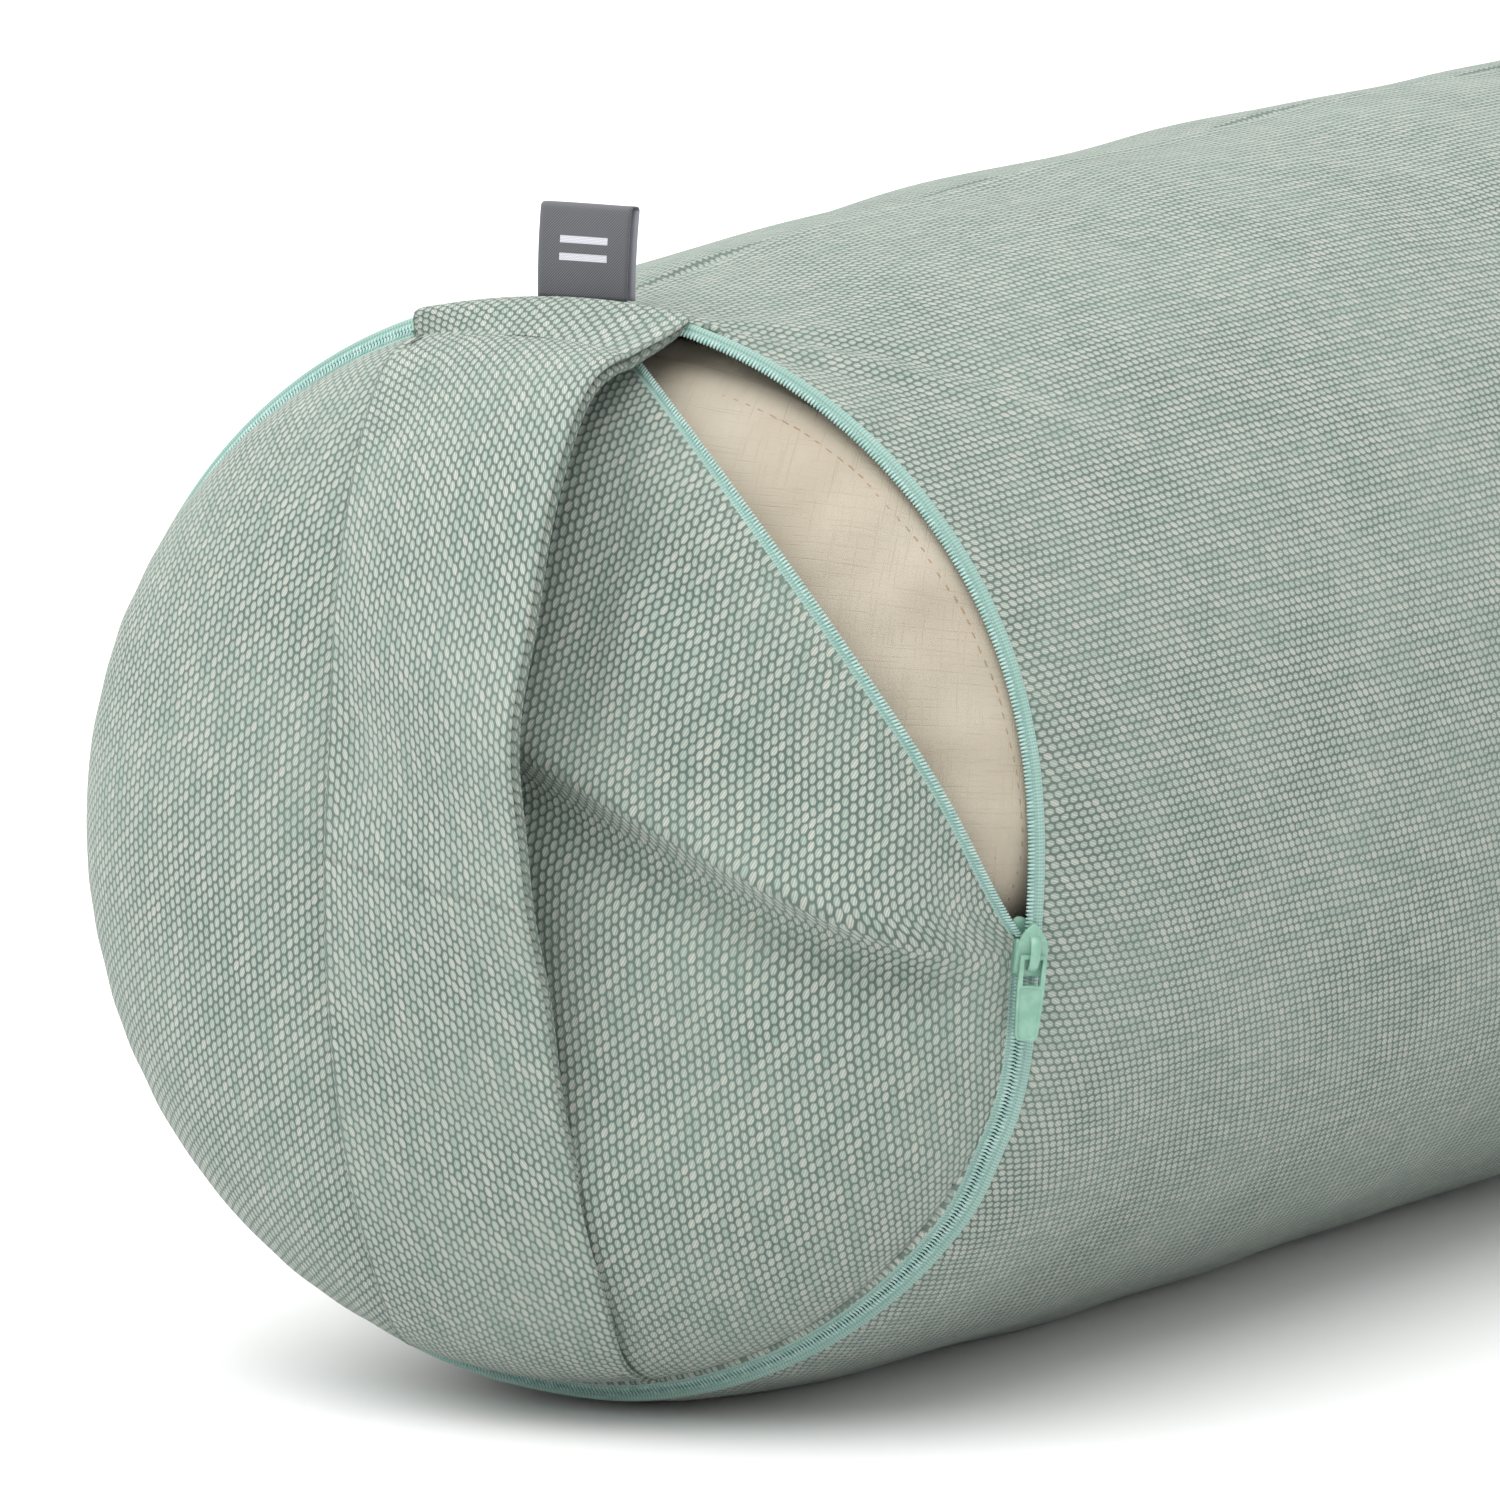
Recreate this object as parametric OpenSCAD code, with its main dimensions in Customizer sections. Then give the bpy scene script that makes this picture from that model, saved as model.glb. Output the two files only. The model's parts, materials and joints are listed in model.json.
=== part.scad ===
// Round yoga bolster: a loose zipped cover with a carrying strap, over a stuffed
// cotton inner cushion. The bolster lies on its side along X, zipped end at -X,
// on the plane z = 0, with the origin in the middle of its flat underside.
// Angles round the axis start at the top (+Z) and grow towards the front (-Y).

/* [Bolster] */
// Outer diameter of the stuffed cover at its middle
cover_d = 220; // [200:1:240]
// Length of the cover from zip plane to far seam
cover_l = 560; // [420:5:700]
// Height of the axis above the resting surface
axis_z = 105; // [103:0.5:108]
// How far each stuffed end bulges past its seam
crown_h = 42; // [38:1:46]
// Thickness of the cover fabric
cloth_t = 1.2; // [0.8:0.1:1.6]
// How far the cover draws in at its ends
rim_draw = 10; // [8:0.5:12]

/* [Inner cushion] */
// Diameter of the inner cushion
inner_d = 209; // [195:1:209]
// Depth of its rounded front end
inner_end_depth = 72; // [60:1:72]
// Thickness of the cotton casing
casing_t = 0.8; // [0.5:0.1:1.2]
// Radius of the stitched seam on each end of the casing
inner_seam_r = 92; // [85:1:94]

/* [Zip] */
// Visible half-width of the zip between the two fabrics
band_w = 3.6; // [3.4:0.1:4.2]
// Thickness of the woven zip tape
tape_t = 0.5; // [0.4:0.1:0.6]
// Diameter of one coil
coil_d = 1.3; // [1.1:0.1:1.4]
// Length of the slider
slider_l = 9.7; // [8:0.1:11]
// Half-width of the slider
slider_w = 3.1; // [2.9:0.05:3.2]
// Angle of the slider from the top
slider_at = 98.5; // [95:0.5:115]
// Angle where the zip starts, under the strap
zip_start = 4; // [2:0.5:8]
// Angle where the zip ends, on the other side of the strap
zip_end = 343; // [330:1:345]
// How far the loosened edge is folded back round its chord
flap_open = 60; // [40:1:65]
// Length of the pull from its pivot
pull_l = 15.5; // [12:0.5:18]

/* [Strap] */
// Width of the carrying strap
strap_w = 54; // [40:1:60]
// Thickness of the folded strap
strap_t = 2.4; // [1.8:0.1:3]
// Gap between the strap and the end panel at its middle
hand_gap = 8; // [7:0.5:12]
// Height above and below the axis where the loose middle of the strap begins
strap_split = 72; // [60:1:80]

/* [Label] */
// Width of the woven side label
label_w = 20; // [15:1:30]
// Height of the label above its seam
label_h = 17.5; // [12:0.5:20]
// Thickness of the folded label
label_t = 1.2; // [0.8:0.1:1.6]

/* [Hidden] */
$fn = 96;

sage = [0.62, 0.69, 0.64];
mint = [0.60, 0.78, 0.72];
mint_metal = [0.55, 0.76, 0.68];
cream = [0.86, 0.80, 0.71];
charcoal = [0.33, 0.34, 0.35];

cover_r = cover_d / 2;
zip_r = cover_r - rim_draw;
half_l = cover_l / 2;
k45 = sqrt(0.5);
crown_power = 2.5;
relax_l = 40;
seam_gap = 0.1;
big = 2 * cover_l;

// The zip band is a 45 degree bevel round the rim. A point in it is given by its
// distance across the band (s, towards the tube) and out of the band (n).
// These return [radius, distance from the zip plane].
function band_pt(s, n) = [zip_r + k45 * (s + n), k45 * (s - n)];
panel_seam = band_pt(-band_w - seam_gap, 0.3);
tube_seam = band_pt(band_w + seam_gap, 0.3);

// Outline of the cover: drawn in at both ends, full in the middle
far_rim = tube_seam[0];
function cover_out(x) = cover_r
    - (cover_r - tube_seam[0]) * exp(-(x - tube_seam[1]) / relax_l)
    - (cover_r - far_rim) * exp(-(cover_l - x) / relax_l);
cover_steps = [for (i = [0:20]) tube_seam[1] + (cover_l - tube_seam[1]) * (1 - cos(9 * i)) / 2];

// Outline of a stuffed round end with a base radius and a height
function crown(r, base_r, h) = h * sqrt(max(0, 1 - pow(r / base_r, crown_power)));
crown_steps = 22;
function crown_line(base_r, h) =
    [for (i = [0:crown_steps]) let (r = base_r * sin(90 * i / crown_steps)) [r, -crown(r, base_r, h)]];

// Outline of the inner cushion's rounded front end
inner_r = inner_d / 2;
inner_end_x = inner_end_depth / 2;
function inner_front(r, base_r) = inner_end_x - inner_end_depth * sqrt(max(0, 1 - pow(r / base_r, 3)));
function inner_line(base_r, r0, r1, steps) =
    [for (i = [0:steps]) let (r = r0 + (r1 - r0) * sin(90 * i / steps)) [r, inner_front(r, base_r)]];

// The loosened edge turns round the chord between its two ends on the rim
flap_a = zip_start;
flap_b = slider_at - 3.2;
flap_mid = (flap_a + flap_b) / 2;
flap_half = (flap_b - flap_a) / 2;
chord_r = zip_r * cos(flap_half);
fold_r = chord_r - 8;

// Sweeps a [radius, x] outline round the axis from angle a0 to a1
module around(a0 = 0, a1 = 360) {
    translate([-half_l, 0, axis_z])
        rotate(180, [1, 0, 1])
            rotate([0, 0, a0])
                rotate_extrude(angle = a1 - a0)
                    children();
}

// Everything above a height
module above(z) {
    translate([-big / 2, -big / 2, z]) cube([big, big, big]);
}

// A band-shaped outline between two distances across and out of the zip
module band_rect(s0, s1, n0, n1) {
    polygon([band_pt(s0, n0), band_pt(s1, n0), band_pt(s1, n1), band_pt(s0, n1)]);
}

// Folds a closed piece of the rim back round the chord
module folded_back() {
    pivot = [-half_l, -chord_r * sin(flap_mid), axis_z + chord_r * cos(flap_mid)];
    along = [0, -cos(flap_mid), -sin(flap_mid)];
    translate(pivot) rotate(flap_open, along) translate(-pivot) children();
}

// Outside of the cover, cut flat at the underside
module cover_outside() {
    intersection() {
        around() polygon(concat(
            [[0, cover_steps[0]]],
            [for (x = cover_steps) [cover_out(x), x]],
            [[0, cover_l]]));
        above(0);
    }
}

// Space inside the cover; its front end is bevelled square to the zip band
module cover_inside() {
    inner_edge = band_pt(band_w + seam_gap, 0.3 - cloth_t);
    intersection() {
        around() polygon(concat(
            [[0, -5], [tube_seam[0] + 5, tube_seam[1] - 5], tube_seam, inner_edge],
            [for (i = [1:20]) [cover_out(cover_steps[i]) - cloth_t, cover_steps[i]]],
            [[cover_out(cover_l) - cloth_t, cover_l + 5], [0, cover_l + 5]]));
        above(cloth_t);
    }
}

module cover_tube() {
    color(sage) difference() {
        cover_outside();
        cover_inside();
    }
}

// A row of lockstitches, each a short thread bar
module stitch(l, d) {
    rotate([0, 90, 0]) cylinder(h = l, d = d, center = true, $fn = 16);
}

tube_seam_at = -4;
stitch_pitch = 7;
stitch_l = 4.5;
thread_d = 0.6;
module tube_seam_thread() {
    count = floor((cover_l - 60) / stitch_pitch);
    color(sage) for (i = [0:count - 1]) {
        x = 30 + i * stitch_pitch;
        r = cover_out(x) + thread_d / 2 + 0.15;
        translate([x - half_l, -r * sin(tube_seam_at), axis_z + r * cos(tube_seam_at)])
            stitch(stitch_l, thread_d);
    }
}

// Stuffed round end panel as a thin shell
module end_shell(base_r, h) {
    outer = crown_line(base_r, h);
    inner = crown_line(base_r - cloth_t, h - cloth_t);
    n = crown_steps;
    polygon(concat(outer, [for (i = [n:-1:0]) inner[i]]));
}

module far_end_panel() {
    color(sage)
        translate([half_l + seam_gap, 0, axis_z])
            rotate([0, 0, 180])
                translate([half_l, 0, -axis_z])
                    around() end_shell(far_rim, crown_h);
}

seam_stitches = 90;
module ring_of_stitches(r, x, count, l, lift) {
    for (i = [0:count - 1])
        translate([x - half_l, 0, axis_z])
            rotate([-360 * i / count, 0, 0])
                translate([0, 0, r + lift])
                    rotate([0, 0, 90])
                        stitch(l, thread_d);
}

module far_seam_thread() {
    color(sage)
        intersection() {
            ring_of_stitches(cover_out(cover_l - 4), cover_l - 4, seam_stitches, stitch_l, 0.6);
            above(0.2);
        }
}

// Side of the fold where the loosened part of the end panel lies
module flap_side(r) {
    translate([-half_l - 100, 0, axis_z])
        rotate([flap_mid, 0, 0])
            translate([0, -cover_d, r])
                cube([110, 2 * cover_d, cover_d]);
}

module end_panel() {
    color(sage) difference() {
        translate([panel_seam[1], 0, 0]) around() end_shell(panel_seam[0], crown_h);
        flap_side(fold_r);
    }
}

// The loosened fabric, from the fold on the panel to the tape on its free edge
flap_cols = 28;
flap_rows = 6;
function turn_back(p, a) = let (u = p[0], w = p[1] - chord_r)
    [u * cos(a) - w * sin(a), chord_r + u * sin(a) + w * cos(a), p[2]];
// [x, distance along the flap's middle line, distance along the chord]
function free_edge(t) = let (a = flap_half * (2 * t - 1), e = [zip_r - 0.3, -band_w - seam_gap])
    turn_back([e[1], e[0] * cos(a), e[0] * sin(a)], flap_open);
function fold_edge(t) = let (
    c = 0.93 * sqrt(pow(panel_seam[0], 2) - pow(fold_r, 2)) * (2 * t - 1),
    r = sqrt(c * c + fold_r * fold_r))
    [panel_seam[1] - crown(r, panel_seam[0], crown_h), fold_r + 1.3, c];
function flap_pt(t, v, inset) = let (e = free_edge(t), f = fold_edge(t), b = 3 * sin(180 * v) * sin(180 * t),
    p = f + (e - f) * v + [-0.8 * b + 0.8 * inset, 0.6 * b - 0.6 * inset, 0])
    [p[0] - half_l,
     -p[1] * sin(flap_mid) - p[2] * cos(flap_mid),
     axis_z + p[1] * cos(flap_mid) - p[2] * sin(flap_mid)];
module end_panel_flap() {
    nc = flap_cols + 1;
    nr = flap_rows + 1;
    side = nc * nr;
    pts = concat(
        [for (i = [0:flap_cols]) for (j = [0:flap_rows])
            flap_pt(0.02 + 0.96 * i / flap_cols, 0.98 * j / flap_rows, 0)],
        [for (i = [0:flap_cols]) for (j = [0:flap_rows])
            flap_pt(0.02 + 0.96 * i / flap_cols, 0.98 * j / flap_rows, cloth_t)]);
    function id(s, i, j) = s * side + i * nr + j;
    faces = concat(
        [for (i = [0:flap_cols - 1]) for (j = [0:flap_rows - 1]) each
            [[id(0, i, j), id(0, i, j + 1), id(0, i + 1, j + 1)],
             [id(0, i, j), id(0, i + 1, j + 1), id(0, i + 1, j)],
             [id(1, i, j), id(1, i + 1, j + 1), id(1, i, j + 1)],
             [id(1, i, j), id(1, i + 1, j), id(1, i + 1, j + 1)]]],
        [for (i = [0:flap_cols - 1]) each
            [[id(0, i, 0), id(0, i + 1, 0), id(1, i + 1, 0)], [id(0, i, 0), id(1, i + 1, 0), id(1, i, 0)],
             [id(0, i, flap_rows), id(1, i + 1, flap_rows), id(0, i + 1, flap_rows)],
             [id(0, i, flap_rows), id(1, i, flap_rows), id(1, i + 1, flap_rows)]]],
        [for (j = [0:flap_rows - 1]) each
            [[id(0, 0, j), id(1, 0, j + 1), id(0, 0, j + 1)], [id(0, 0, j), id(1, 0, j), id(1, 0, j + 1)],
             [id(0, flap_cols, j), id(0, flap_cols, j + 1), id(1, flap_cols, j + 1)],
             [id(0, flap_cols, j), id(1, flap_cols, j + 1), id(1, flap_cols, j)]]]);
    color(sage) polyhedron(pts, faces);
}

// Zip tapes and coils: tube side all round, panel side where closed, flap side where open
tape_in = 0.6;
coil_s = coil_d / 2 + 0.15;
coil_n = tape_t / 2 + coil_d / 2;
closed_from = slider_at - 1;
flap_end_gap = 1.3;
module tape_outline(side) {
    if (side > 0) band_rect(tape_in, band_w, -tape_t / 2, tape_t / 2);
    else band_rect(-band_w, -tape_in, -tape_t / 2, tape_t / 2);
}
module coil_outline(side) {
    translate(band_pt(side * coil_s, coil_n)) circle(d = coil_d, $fn = 24);
}

module zip_tape_tube_side() {
    color(mint) around(zip_start, zip_end) tape_outline(1);
}
module zip_tape_panel_side() {
    color(mint) around(closed_from, zip_end) tape_outline(-1);
}
module zip_tape_flap_side() {
    color(mint) folded_back() around(flap_a, flap_b - flap_end_gap)
        translate([zip_r - tape_t / 2, -band_w]) square([tape_t, band_w - tape_in]);
}
module zip_coil_tube_side() {
    color(mint) around(zip_start + 2, zip_end - 2) coil_outline(1);
}
module zip_coil_panel_side() {
    color(mint) around(closed_from, zip_end - 2) coil_outline(-1);
}
module zip_coil_flap_side() {
    color(mint) folded_back() around(flap_a + 2, flap_b - flap_end_gap)
        translate([zip_r + coil_n, -coil_s]) circle(d = coil_d, $fn = 24);
}

// Metal stops crimped on the ends of the coils
stop_span = 1.2;
module zip_top_stop() {
    color(mint_metal) around(zip_start + 0.6, zip_start + 0.6 + stop_span)
        band_rect(0.2, 2, tape_t / 2 + 0.02, 1.8);
}
module zip_bottom_stop() {
    color(mint_metal) around(zip_end - 0.6 - stop_span, zip_end - 0.6)
        band_rect(-2, 2, tape_t / 2 + 0.02, 1.8);
}

// Slider: two plates, side flanges and a divider at the mouth
slider_span = slider_l / zip_r * 180 / PI;
slider_a0 = slider_at - slider_span / 2;
slider_a1 = slider_at + slider_span / 2;
plate_low = -1.35;
plate_high = 2.7;
plate_t = 0.75;
flange_w = 0.7;
flange_n = 0.65;
// Top plate with its flanges turned down on both sides
module slider_top_outline() {
    in_w = slider_w - flange_w;
    roof = plate_high - plate_t;
    polygon([for (p = [
        [-slider_w, plate_high], [slider_w, plate_high], [slider_w, flange_n], [in_w, flange_n],
        [in_w, roof], [-in_w, roof], [-in_w, flange_n], [-slider_w, flange_n]]) band_pt(p[0], p[1])]);
}
module zip_slider_body() {
    post_in = 0.1;
    color(mint_metal) union() {
        around(slider_a0, slider_a1) slider_top_outline();
        around(slider_a0, slider_a1) band_rect(-slider_w, slider_w, plate_low, plate_low + plate_t);
        around(slider_a0 + 0.3, slider_a0 + 1.3)
            band_rect(-1.3, -0.2, plate_low + plate_t - post_in, plate_high - plate_t + post_in);
    }
}

// Places children at the slider: X across the band, Y along the rim downwards, Z out of the band
module at_slider(n = 0) {
    translate([-half_l, 0, axis_z])
        rotate([slider_at, 0, 0])
            translate([band_pt(0, n)[1], 0, band_pt(0, n)[0]])
                rotate([0, -45, 0])
                    rotate([0, 0, 180])
                        children();
}

// Arched lug that holds the pull
bridge_l = 5.6;
bridge_w = 1.6;
bridge_h = 2.3;
bridge_wall = 0.7;
module zip_slider_bridge() {
    color(mint_metal) at_slider(plate_high + 0.02)
        rotate([90, 0, 90])
            translate([0, 0, -bridge_w / 2])
                linear_extrude(bridge_w)
                    difference() {
                        translate([-bridge_l / 2, 0]) square([bridge_l, bridge_h]);
                        translate([-bridge_l / 2 + bridge_wall, -1])
                            square([bridge_l - 2 * bridge_wall, bridge_h - bridge_wall + 1]);
                    }
}

// Pull: an eye round the bridge and a flat tapered tab
pivot_n = plate_high + 0.85;
pivot_y = 1.2;
eye_bar = 0.9;
eye_w = 4.2;
eye_l = 5.2;
tab_w = 5;
tab_t = 0.9;
module zip_pull() {
    color(mint_metal) at_slider(pivot_n)
        translate([0, pivot_y, 0]) {
            rotate([0, 90, 0]) cylinder(h = eye_w, d = eye_bar, center = true, $fn = 24);
            for (side = [-1, 1])
                translate([side * (eye_w / 2 - eye_bar / 2), eye_l / 2, 0])
                    cube([eye_bar, eye_l, eye_bar], center = true);
            difference() {
                translate([0, 0, -tab_t / 2])
                    linear_extrude(tab_t) polygon([
                        [-eye_w / 2, eye_l - 0.4], [eye_w / 2, eye_l - 0.4],
                        [tab_w / 2, pull_l - 1.5], [tab_w / 2 - 1.2, pull_l],
                        [-tab_w / 2 + 1.2, pull_l], [-tab_w / 2, pull_l - 1.5]]);
                translate([0, pull_l - 3.4, -tab_t])
                    linear_extrude(2 * tab_t) square([1.6, 3], center = true);
            }
        }
}

// Strap: its side outline runs from the tube-side seam over the zip, down in front of
// the end panel with a hand gap, and into the panel seam at the bottom
strap_in_h = crown_h - panel_seam[1] + hand_gap;
strap_top_r = zip_r + 2.8;
strap_bottom_r = panel_seam[0] + 0.45;
strap_steps = 40;
function strap_line(off) = [for (i = [0:strap_steps])
    let (a = 90 - 180 * i / strap_steps,
         r0 = a > 0 ? strap_top_r : strap_bottom_r,
         base = r0 + off, z = base * sin(a))
    [-(strap_in_h + off) * sqrt(max(0, 1 - pow(abs(z) / base, crown_power))), z]];
module strap_outline() {
    inner = strap_line(0);
    outer = strap_line(strap_t);
    polygon(concat(outer, [for (i = [strap_steps:-1:0]) inner[i]]));
}
module strap_solid(z0, z1, w) {
    intersection() {
        translate([-half_l + panel_seam[1] / 2, w / 2, axis_z])
            rotate([90, 0, 0]) linear_extrude(w) strap_outline();
        translate([-half_l - 150, -w, axis_z + z0]) cube([200, 2 * w, z1 - z0]);
    }
}

module handle_grip() {
    color(sage) strap_solid(-strap_split + 0.4, strap_split - 0.4, strap_w);
}
strap_tail = 4.5;
module handle_top_end() {
    color(sage) union() {
        strap_solid(strap_split, strap_top_r + strap_t, strap_w);
        translate([-half_l + panel_seam[1] / 2 - 0.01, -strap_w / 2, axis_z + strap_top_r + 0.6])
            cube([strap_tail, strap_w, strap_t - 0.6]);
    }
}
module handle_bottom_end() {
    color(sage) difference() {
        strap_solid(-strap_bottom_r - strap_t, -strap_split, strap_w);
        translate([-half_l - 4, -strap_w, 0]) cube([20, 2 * strap_w, axis_z]);
    }
}

// Woven label folded double and caught in the tube-side seam
label_x = 6;
label_y = -1.5;
label_pivot_r = zip_r + 4.6;
module side_label() {
    color(charcoal) translate([-half_l + label_x, label_y, axis_z + label_pivot_r]) {
        rotate([90, 0, 0]) cylinder(h = label_w, d = label_t, center = true, $fn = 24);
        translate([-label_t / 2, -label_w / 2, 0]) cube([label_t, label_w, label_h]);
    }
}

// Inner cushion: cotton tube, two round ends, their seams and the filling
module inner_solid(inset) {
    r = inner_r - inset;
    front = inner_line(r, 0, r, 20);
    intersection() {
        around() polygon(concat(
            [for (p = front) [p[0], p[1] + inset]],
            [for (i = [20:-1:0]) [front[i][0], cover_l - front[i][1] - inset]]));
        above(cloth_t + 0.4 + inset);
    }
}
module inner_shell() {
    difference() {
        inner_solid(0);
        inner_solid(casing_t);
    }
}
seam_x = inner_front(inner_seam_r, inner_r);
module inner_tube() {
    color(cream) difference() {
        inner_shell();
        for (x = [-100, cover_l - seam_x])
            translate([x - half_l, 0, axis_z]) rotate([0, 90, 0])
                cylinder(h = 100 + seam_x, r = inner_seam_r);
    }
}
module inner_disc(x) {
    intersection() {
        inner_shell();
        translate([x - half_l, 0, axis_z]) rotate([0, 90, 0])
            cylinder(h = 100 + seam_x, r = inner_seam_r - 0.1);
    }
}
module inner_front_disc() {
    color(cream) inner_disc(-100);
}
module inner_back_disc() {
    color(cream) inner_disc(cover_l - seam_x);
}
inner_stitches = 100;
module inner_seam_thread() {
    color(cream) for (x = [seam_x - 0.6, cover_l - seam_x + 0.6])
        ring_of_stitches(inner_seam_r, x, inner_stitches, 3.2, 0.5);
}
module filling() {
    color("tan") inner_solid(casing_t + 0.2);
}

cover_tube();
tube_seam_thread();
far_end_panel();
far_seam_thread();
end_panel();
end_panel_flap();
zip_tape_tube_side();
zip_tape_panel_side();
zip_tape_flap_side();
zip_coil_tube_side();
zip_coil_panel_side();
zip_coil_flap_side();
zip_top_stop();
zip_bottom_stop();
zip_slider_body();
zip_slider_bridge();
zip_pull();
handle_grip();
handle_top_end();
handle_bottom_end();
side_label();
inner_tube();
inner_front_disc();
inner_back_disc();
inner_seam_thread();
filling();
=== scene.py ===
"""A round bolster on its side: woven cover with a zipped end, strap, label and inner cushion."""
import json
import math

import bpy
import numpy as np
from mathutils import Matrix, Vector


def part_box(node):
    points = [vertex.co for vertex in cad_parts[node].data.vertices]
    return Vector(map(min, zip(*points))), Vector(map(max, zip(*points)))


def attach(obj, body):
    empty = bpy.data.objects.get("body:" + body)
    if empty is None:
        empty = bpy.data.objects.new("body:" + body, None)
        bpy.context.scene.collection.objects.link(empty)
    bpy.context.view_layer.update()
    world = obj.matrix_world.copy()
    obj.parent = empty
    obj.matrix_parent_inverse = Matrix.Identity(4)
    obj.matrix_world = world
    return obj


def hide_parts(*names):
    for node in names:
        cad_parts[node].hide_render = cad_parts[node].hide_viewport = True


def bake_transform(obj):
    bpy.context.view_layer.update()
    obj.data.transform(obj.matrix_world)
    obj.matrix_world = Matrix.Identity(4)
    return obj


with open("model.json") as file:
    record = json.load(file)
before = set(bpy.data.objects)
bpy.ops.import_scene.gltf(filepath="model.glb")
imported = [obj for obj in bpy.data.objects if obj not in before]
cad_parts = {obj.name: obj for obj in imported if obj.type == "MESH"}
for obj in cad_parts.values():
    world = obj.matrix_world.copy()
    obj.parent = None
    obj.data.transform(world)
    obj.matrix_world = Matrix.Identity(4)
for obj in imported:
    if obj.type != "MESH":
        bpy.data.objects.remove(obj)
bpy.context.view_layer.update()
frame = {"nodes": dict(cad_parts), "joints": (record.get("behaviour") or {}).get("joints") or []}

# -------------------- sizes, in metres
JOINT = {joint["name"]: joint for joint in frame["joints"]}
RIM_X, _, AXIS_Z = JOINT["zip_run"]["pos_m"]  # centre of the zip's ring
TUBE_BOX, FAR_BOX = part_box("cover_tube"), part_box("far_end_panel")
COVER_R = (TUBE_BOX[1].y - TUBE_BOX[0].y) / 2
FAR_X = TUBE_BOX[1].x - RIM_X  # far seam, from the zip plane
FAR_CROWN = FAR_BOX[1].x - TUBE_BOX[1].x
ZIP_R = COVER_R - 0.010  # the zip's meeting line
BAND_W = 0.0031  # one side of the zip, teeth to fabric
CROWN = RIM_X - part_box("end_panel")[0].x  # height of the stuffed end
CLOTH_T = 0.0009
HEM_R = 0.0008  # the cloth's folded edge at the zip
FLOOR_GAP = 0.0002  # cloth stays this far above the floor
DIAGONAL = 0.70711  # the zip band is a 45 degree bevel
MM = 0.001
TURN = 2 * math.pi  # once round
BEHIND = np.array([1.0, 0, 0])  # from the zip plane into the cushion

START, SLIDER, END = np.radians([4.0, 98.5, 343.0])  # angles round the rim, from the top towards -Y
FLAP_END = SLIDER - math.radians(3.2)
FLAP_PIVOT = np.array(JOINT["flap_fold"]["pos_m"])
FLAP_AXIS = np.array(JOINT["flap_fold"]["axis"])
FLAP_OPEN = math.radians(-JOINT["flap_fold"]["range_deg"][0])
RING = np.array([RIM_X, 0, AXIS_Z])


def column(*values):
    """Numbers or equal arrays as rows of 3-D points."""
    return np.stack(np.broadcast_arrays(*values), -1)


def polar(x, radius, theta):
    """Points at x behind the zip plane, a radius from the axis, theta from the top towards -Y."""
    return RING + column(x, -radius * np.sin(theta), radius * np.cos(theta))


def outwards(theta):
    """Direction away from the axis."""
    return polar(0, 1.0, theta) - RING


def downwards(theta):
    """Direction along the rim, as theta grows."""
    return column(0 * theta, -np.cos(theta), -np.sin(theta))


def from_axis(points):
    """Distance of points from the axis, where they are given from RING."""
    return np.hypot(points[..., 1], points[..., 2])


def path_length(points):
    """Length along a row of points, from its first."""
    return np.concatenate([[0], np.linalg.norm(np.diff(points, axis=0), axis=-1).cumsum()])


def unit(v):
    return v / np.maximum(np.linalg.norm(v, axis=-1, keepdims=True), 1e-12)


def turned(points, angle):
    """Points turned about the flap's chord; a positive angle folds them back over the cushion."""
    p = points - FLAP_PIVOT
    k, c, s = FLAP_AXIS, np.cos(angle), np.sin(angle)
    return FLAP_PIVOT + p * c + np.cross(k, p) * s + k * (p @ k)[..., None] * (1 - c)


def smooth(a, b, x):
    """Eases from 0 at a to 1 at b; b may be the smaller one."""
    t = np.clip((x - a) / (b - a), 0, 1)
    return t * t * (3 - 2 * t)


def rim(theta, share=1.0):
    """The zip's meeting line. Its open stretch is slack, so it is drawn in near the slider."""
    degrees = (np.degrees(theta) + 120) % 360 - 120
    open_slack = 0.0010 * smooth(-14, -3, degrees) * smooth(116, 100, degrees)
    at_slider = 0.0037 * np.exp(-((degrees - 95) / np.where(degrees < 95, 23, 15)) ** 2)
    pushed_out = 0.0012 * smooth(118, 128, degrees) * smooth(186, 172, degrees)
    drawn = DIAGONAL * ((open_slack + at_slider) * share - pushed_out)
    return polar(-drawn, ZIP_R - drawn, theta)


def ripple(seed, coords, wavelengths, count=5):
    """A smooth, seeded sum of waves over coords, from about -1 to 1."""
    rng = np.random.default_rng(seed)
    total = 0
    for _ in range(count):
        direction = rng.normal(size=len(coords))
        direction /= np.linalg.norm(direction)
        scale = TURN / rng.uniform(*wavelengths)
        distance = sum(d * c for d, c in zip(direction, coords))
        total = total + np.sin(distance * scale + rng.uniform(0, 6.28))
    return total / count ** 0.5


# -------------------- meshes
def placed(name, data):
    obj = bpy.data.objects.new(name, data)
    bpy.context.scene.collection.objects.link(obj)
    return obj


def mesh_object(name, verts, faces, uvs=None):
    """A smooth mesh; uvs has one (a, b) pair for each face corner, in metres of cloth."""
    mesh = bpy.data.meshes.new(name)
    mesh.from_pydata(verts.reshape(-1, 3).tolist(), [], faces)
    if uvs is not None:
        mesh.uv_layers.new(name="Weave").data.foreach_set("uv", np.asarray(uvs, np.float32).ravel())
    mesh.polygons.foreach_set("use_smooth", [True] * len(mesh.polygons))
    mesh.validate()
    return placed(name, mesh)


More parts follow.
